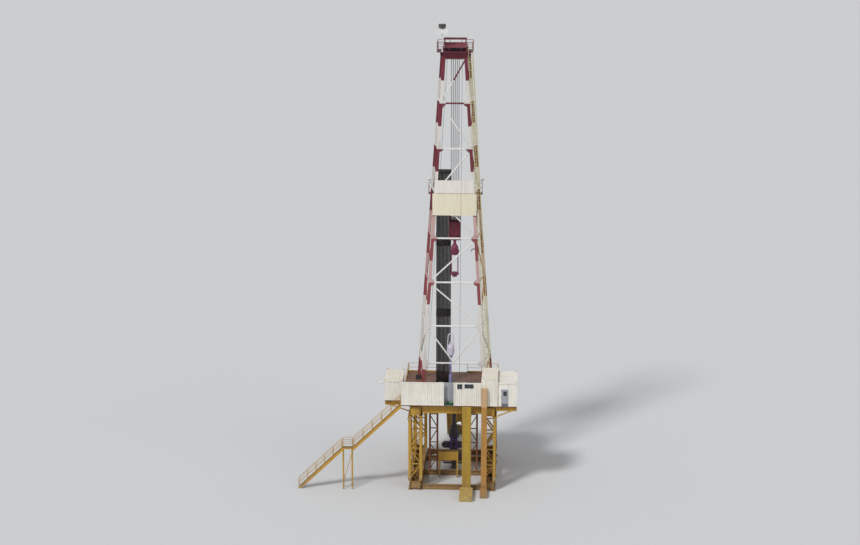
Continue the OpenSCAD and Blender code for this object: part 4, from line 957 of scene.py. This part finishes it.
pale_yellow = weathered("ladder_paint", (0.52, 0.47, 0.20), (0.25, 0.2, 0.12), rust=0.4)
finish_nodes(pale_yellow, "mast_ladder")
ladder_from_leg = 0.16
ladder_w = 0.24
cage_half_w = 0.16
cage_depth = 0.3
cage_bottom = 6.75
hoop_gap = 0.45
hoop_h = 0.024
strap_w = 0.022
bar_t = 0.004


def cage_middle(z):
    """Middle of the ladder at a height."""
    return rear_leg(1, z) + Vector((ladder_from_leg + ladder_w / 2, 0, 0))


def cage_point(z, angle):
    """Point on the cage at a height, 0 degrees at the ladder's right rail."""
    turn = math.radians(angle)
    return cage_middle(z) + Vector((cage_half_w * math.cos(turn), -cage_depth * math.sin(turn), 0))


def inwards(point):
    """From a point on a hoop towards the ladder, as far as a hoop is thick."""
    middle = cage_middle(point.z)
    return Vector((middle.x - point.x, middle.y - point.y, 0)).normalized() * bar_t


cage = bmesh.new()
for i in range(int((mast_top - cage_bottom) / hoop_gap) + 1):
    hoop = [cage_point(cage_bottom + i * hoop_gap, angle) for angle in range(0, 181, 15)]
    strip(cage, hoop, Vector((0, 0, hoop_h)), inwards)
for angle in range(0, 181, 45):
    foot, head = cage_point(cage_bottom, angle), cage_point(mast_top, angle)
    away = (head - cage_middle(mast_top)).normalized()
    across = Vector((-away.y, away.x, 0)) * strap_w
    strip(cage, [foot, head], across, lambda p, a=away: a * bar_t)
new_piece("ladder_cage", cage, pale_yellow)


# Crown
# The dark red frame and grated platform on top of the mast carry the sheaves on their pin, with a
# nut at each of its ends, and a dark lamp on a white box.

dark_red = weathered("red_paint", (0.155, 0.017, 0.035), (0.05, 0.02, 0.022), rust=0.3)
finish_nodes(dark_red, "crown_frame", "sheave_guard")
finish_nodes(dark_steel, "crown_sheaves")
# The second tone is painted shade in the grating's gaps.
crown_tones = grated((0.155, 0.017, 0.035), (0.05, 0.01, 0.012), 25.33)
crown_grating = weathered("crown_grating", crown_tones, (0.05, 0.02, 0.022), rust=0.3)
finish_nodes(crown_grating, "crown_platform")
lamp_tones = two_tone(26.651, (0.78, 0.78, 0.76), (0.05, 0.05, 0.055))
lamp_paint = weathered("crown_lamp_paint", lamp_tones, (0.2, 0.18, 0.15), rust=0.1)
finish_nodes(lamp_paint, "crown_lamp_box")

crown_pin = Vector((0, 0, 25.42))
nut_profile = [(0.085, 0), (0.085, 0.012), (0.06, 0.014), (0.06, 0.045), (0.03, 0.05)]
crown_nuts = bmesh.new()
crown_end = max(abs(v.x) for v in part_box("crown_sheaves"))
for side in (-1, 1):
    stud(crown_nuts, nut_profile, (side * crown_end, 0, crown_pin.z), "X", side, 24)
new_piece("crown_pin_nuts", crown_nuts, steel_bright)


# Travelling block, hook and elevator
# Dark sheaves between two dark red cheeks, with nuts on their pin and bolts round the cheeks.
# Ribbed guard plates are welded between the cheeks under the sheaves, the hook hangs below in
# a brighter red, and the elevator on its links has a latch.

block_pin = Vector((0, 0, 15.3))
block_pin_end = 0.3551
cheek_inside = 0.294
cheek_outside = 0.335
sheave_reach = 0.302


def dark_sheaves(tree, place):
    """Dark steel within the sheaves' reach of the block's pin and between its cheeks."""
    far = from_centre(tree, place, block_pin, (0, 1, 1))
    near = worked(tree, "LESS_THAN", far, sheave_reach)
    between = worked(tree, "COMPARE", parts(tree, place)["X"], 0.0, cheek_inside)
    both = worked(tree, "MINIMUM", near, between)
    return mixed(tree, both, (0.15, 0.015, 0.033), (0.045, 0.04, 0.045))


block_paint = weathered("block_paint", dark_sheaves, (0.05, 0.02, 0.022), rust=0.35)
finish_nodes(block_paint, "travelling_block")
magenta = weathered("hook_paint", (0.20, 0.025, 0.075), (0.06, 0.03, 0.03), rust=0.4)
finish_nodes(magenta, "hook")

cheek_bolts_r = 0.27
block_nuts = bmesh.new()
for side in (-1, 1):
    stud(block_nuts, nut_profile, (side * block_pin_end, 0, block_pin.z), "X", side, 24)
    face = side * cheek_outside
    for i in range(14):
        turn = math.radians(-30 + 240 * i / 13)
        y, rise = cheek_bolts_r * math.cos(turn), cheek_bolts_r * math.sin(turn)
        stud(block_nuts, [(0.015, 0), (0.015, 0.014)], (face, y, block_pin.z + rise), "X", side, 6)
    for z in (14.3, 14.42, 14.54):
        for y in (-0.07, 0.07):
            stud(block_nuts, [(0.018, 0), (0.018, 0.016)], (face, y, z), "X", side, 6)
new_piece("block_nuts", block_nuts, steel_bright, "block")

guard_from_pin = 0.33
guard_above_pin = 0.03
guard_below_pin = 0.74
guard_t = 0.008
rib_out = 0.02
cheek_taper = math.asin(0.198)
guards = bmesh.new()
for side in (-1, 1):
    outward = Vector((0, side * math.cos(cheek_taper), -math.sin(cheek_taper)))
    along = Vector((0, -side * math.sin(cheek_taper), -math.cos(cheek_taper)))
    face = block_pin + outward * guard_from_pin
    ends = [face - along * guard_above_pin, face + along * guard_below_pin]
    strip(guards, ends, Vector((2 * cheek_inside, 0, 0)), lambda p, o=outward: o * guard_t)
    for x in (-0.2, 0.0, 0.2):
        rib = [end + outward * 0.006 + Vector((x, 0, 0)) for end in ends]
        strip(guards, rib, Vector((0.012, 0, 0)), lambda p, o=outward: o * rib_out)
new_piece("block_guards", guards, dark_red, "block")

latch = bmesh.new()
for z in (12.05, 12.2):
    block(latch, (-0.045, -0.175, z - 0.03), (0.045, -0.14, z + 0.03))
turned(latch, [(0.016, 11.98), (0.016, 12.27)], (0, -0.165, 0), 12)
for x in (-0.19, 0.19):
    for z in (12.13, 13.59):
        turned(latch, [(0.055, -0.02), (0.055, 0.02)], (x, 0, z), 20, "Y")
new_piece("elevator_latch", latch, dark_steel, "block")


# Swivel
# Parked upright in a sleeve behind the well: a lilac swivel on a bluer kelly.

swivel_tones = two_tone(7.4, (0.29, 0.28, 0.52), (0.62, 0.58, 0.68))
finish_nodes(weathered("swivel_paint", swivel_tones, (0.2, 0.18, 0.22), rust=0.2), "swivel")


# Ropes
# Wire rope of eight strands laid in a slow twist. The falls run straight between the crown and
# the block where it hangs now; the rest of the rope stays on its sheaves and on the drum.

rope_r = 0.009
rope_on_sheave = 0.2933
sheave_pitch = 0.11
sheave_xs = [(i - 2) * sheave_pitch for i in range(5)]


def rope_along(mesh, points, gap=0.02, lay=0.24, strands=8):
    """Adds one rope that follows points, with a lobed outline that turns as it goes."""
    path = [points[0]]
    for start, end in zip(points, points[1:]):
        steps = max(1, round((end - start).length / gap))
        path += [start.lerp(end, (i + 1) / steps) for i in range(steps)]
    gone = 0.0
    side = Vector((1, 0, 0))
    before = None
    for i, point in enumerate(path):
        ahead = (path[min(i + 1, len(path) - 1)] - path[max(i - 1, 0)]).normalized()
        side = (side - ahead * side.dot(ahead)).normalized()
        over = ahead.cross(side)
        if i:
            gone += (point - path[i - 1]).length
        ring = []
        for k in range(strands):
            angle = 2 * math.pi * (k / strands + gone / lay)
            reach = rope_r * (1.0 if k % 2 else 0.8)
            off = (side * math.cos(angle) + over * math.sin(angle)) * reach
            ring.append(mesh.verts.new(point + off))
        if before:
            for k in range(strands):
                beside = k - strands + 1
                mesh.faces.new((before[k], before[beside], ring[beside], ring[k]))
        before = ring


falls = bmesh.new()
for x in sheave_xs:
    for y in (-rope_on_sheave, rope_on_sheave):
        rope_along(falls, [Vector((x, y, crown_pin.z)), Vector((x, y, block_pin.z))])
drilling_falls = new_piece("drilling_falls", falls, rope, None)
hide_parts("drilling_lines")
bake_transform(drilling_falls)


def over_sheave(mesh, x, pin, low, high):
    """Adds the rope that lies in a sheave's groove between two angles, in degrees."""
    points = []
    for i in range(25):
        turn = math.radians(low + (high - low) * i / 24)
        out = Vector((0, math.cos(turn), math.sin(turn)))
        points.append(pin + Vector((x, 0, 0)) + out * rope_on_sheave)
    rope_along(mesh, points)


fast_x = 0.41
crown_wraps = bmesh.new()
block_wraps = bmesh.new()
for x in sheave_xs:
    over_sheave(crown_wraps, x, crown_pin, 0, 180)
    over_sheave(block_wraps, x, block_pin, 180, 360)
over_sheave(crown_wraps, fast_x, crown_pin, 0, 172)
over_sheave(crown_wraps, -fast_x, crown_pin, 0, 180)
new_piece("ropes_over_crown_sheaves", crown_wraps, rope)
new_piece("ropes_under_block_sheaves", block_wraps, rope, "block")

drum_half = 0.505
drum_r = 0.3
turns = int(2 * drum_half / (2 * rope_r + 0.001))
pitch = 2 * drum_half / turns
coil_profile = []
for i in range(turns):
    x = -drum_half + (i + 0.5) * pitch
    for share, rise in ((-0.45, 0.1), (-0.25, 0.75), (0, 1), (0.25, 0.75)):
        coil_profile.append((drum_r + 0.001 + rise * 2 * rope_r, x + share * pitch))
drum_wraps = bmesh.new()
turned(drum_wraps, coil_profile, drum_pin, 48, "X")
new_piece("rope_on_drum", drum_wraps, rope)

lean = math.atan2(crown_pin.z - drum_pin.z, -drum_pin.y)
apart = math.hypot(crown_pin.z - drum_pin.z, drum_pin.y)
coil_r = drum_r + rope_r + 0.0003
tangent = lean + math.acos((coil_r - rope_on_sheave) / apart)
off = Vector((0, math.cos(tangent), math.sin(tangent)))
fast_foot = drum_pin + off * coil_r + Vector((fast_x, 0, 0))
fast_head = crown_pin + off * rope_on_sheave + Vector((fast_x, 0, 0))
dead_foot = Vector((-1.64, -0.52, 5.49))
dead_head = crown_pin + Vector((-fast_x, -rope_on_sheave, 0))
fast_and_dead = bmesh.new()
rope_along(fast_and_dead, [fast_foot, fast_head])
rope_along(fast_and_dead, [dead_foot, dead_head])
fast_and_dead_ropes = new_piece("fast_and_dead_ropes", fast_and_dead, rope)
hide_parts("fast_and_dead_lines")

anchor_profile = [(0.09, 0), (0.09, 0.02), (0.07, 0.022), (0.07, 0.2), (0.09, 0.21), (0.09, 0.24)]
anchor = bmesh.new()
turned(anchor, anchor_profile, (dead_foot.x, dead_foot.y, deck_top), 24)
new_piece("dead_line_anchor", anchor, grey)


# Floodlights
# Small white lamp boxes with a glass front on a stem: one on the cable trough, one at the left
# cabin and two on the racking board.

glass_looks = {"Base Color": (0.55, 0.57, 0.58, 1), "Roughness": 0.12, "Coat Weight": 0.6}
lamp_glass = plain("lamp_glass", glass_looks)
stem_t = 0.03
lamp_half_w = 0.13
lamp_half_h = 0.09
lamp_front = 0.03
rim_t = 0.015


def floodlight(name, foot, head, facing):
    """A stem from foot to head, and a tapered lamp on it that faces a direction."""
    foot, head = Vector(foot), Vector(head)
    stem = bmesh.new()
    strip(stem, [foot, head], Vector((stem_t, 0, 0)), lambda p: Vector((0, stem_t, 0)))
    new_piece(name + "_stem", stem, white)
    turn = Matrix.Translation(head) @ Vector(facing).to_track_quat("Y", "Z").to_matrix().to_4x4()
    shell = bmesh.new()
    block(shell, (-lamp_half_w, -0.1, -lamp_half_h), (lamp_half_w, lamp_front, lamp_half_h))
    bmesh.ops.scale(shell, vec=(0.62, 1, 0.62), verts=[v for v in shell.verts if v.co.y < 0])
    bmesh.ops.bevel(shell, geom=shell.edges[:], offset=0.012, segments=2, affect="EDGES")
    half_w, half_h = lamp_half_w + 0.01, lamp_half_h + 0.01
    for left, right, foot_z, head_z, rim_out in (
        (-half_w, half_w, -half_h, rim_t - half_h, 0.015),
        (-half_w, half_w, half_h - rim_t, half_h, 0.03),
        (-half_w, rim_t - half_w, rim_t - half_h, half_h - rim_t, 0.02),
        (half_w - rim_t, half_w, rim_t - half_h, half_h - rim_t, 0.02),
    ):
        block(shell, (left, lamp_front, foot_z), (right, lamp_front + rim_out, head_z))
    bmesh.ops.transform(shell, matrix=turn, verts=shell.verts)
    new_piece(name, shell, white)
    front = bmesh.new()
    block(front, (-0.12, lamp_front, -0.08), (0.12, lamp_front + 0.008, 0.08))
    bmesh.ops.transform(front, matrix=turn, verts=front.verts)
    new_piece(name + "_glass", front, lamp_glass)


floodlight("trough_lamp", (0.61, -4.0, 4.05), (0.45, -4.05, 4.2), (-0.3, -0.6, -0.7))
stem_y = cabin_low.y + 0.2
stem_foot = (cabin_low.x + 0.02, stem_y, 6.2)
floodlight("cabin_lamp", stem_foot, (cabin_low.x - 0.22, stem_y, 6.25), (-0.8, -0.3, -0.6))
board_low, board_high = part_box("racking_board")
for name, side in (("board_lamp_left", -1), ("board_lamp_right", 1)):
    foot = Vector((side * (board_high.x - 0.03), board_low.y + 2.2, board_high.z - 0.02))
    floodlight(name, foot, foot + Vector((0, 0, 0.18)), (side, -0.4, -0.9))
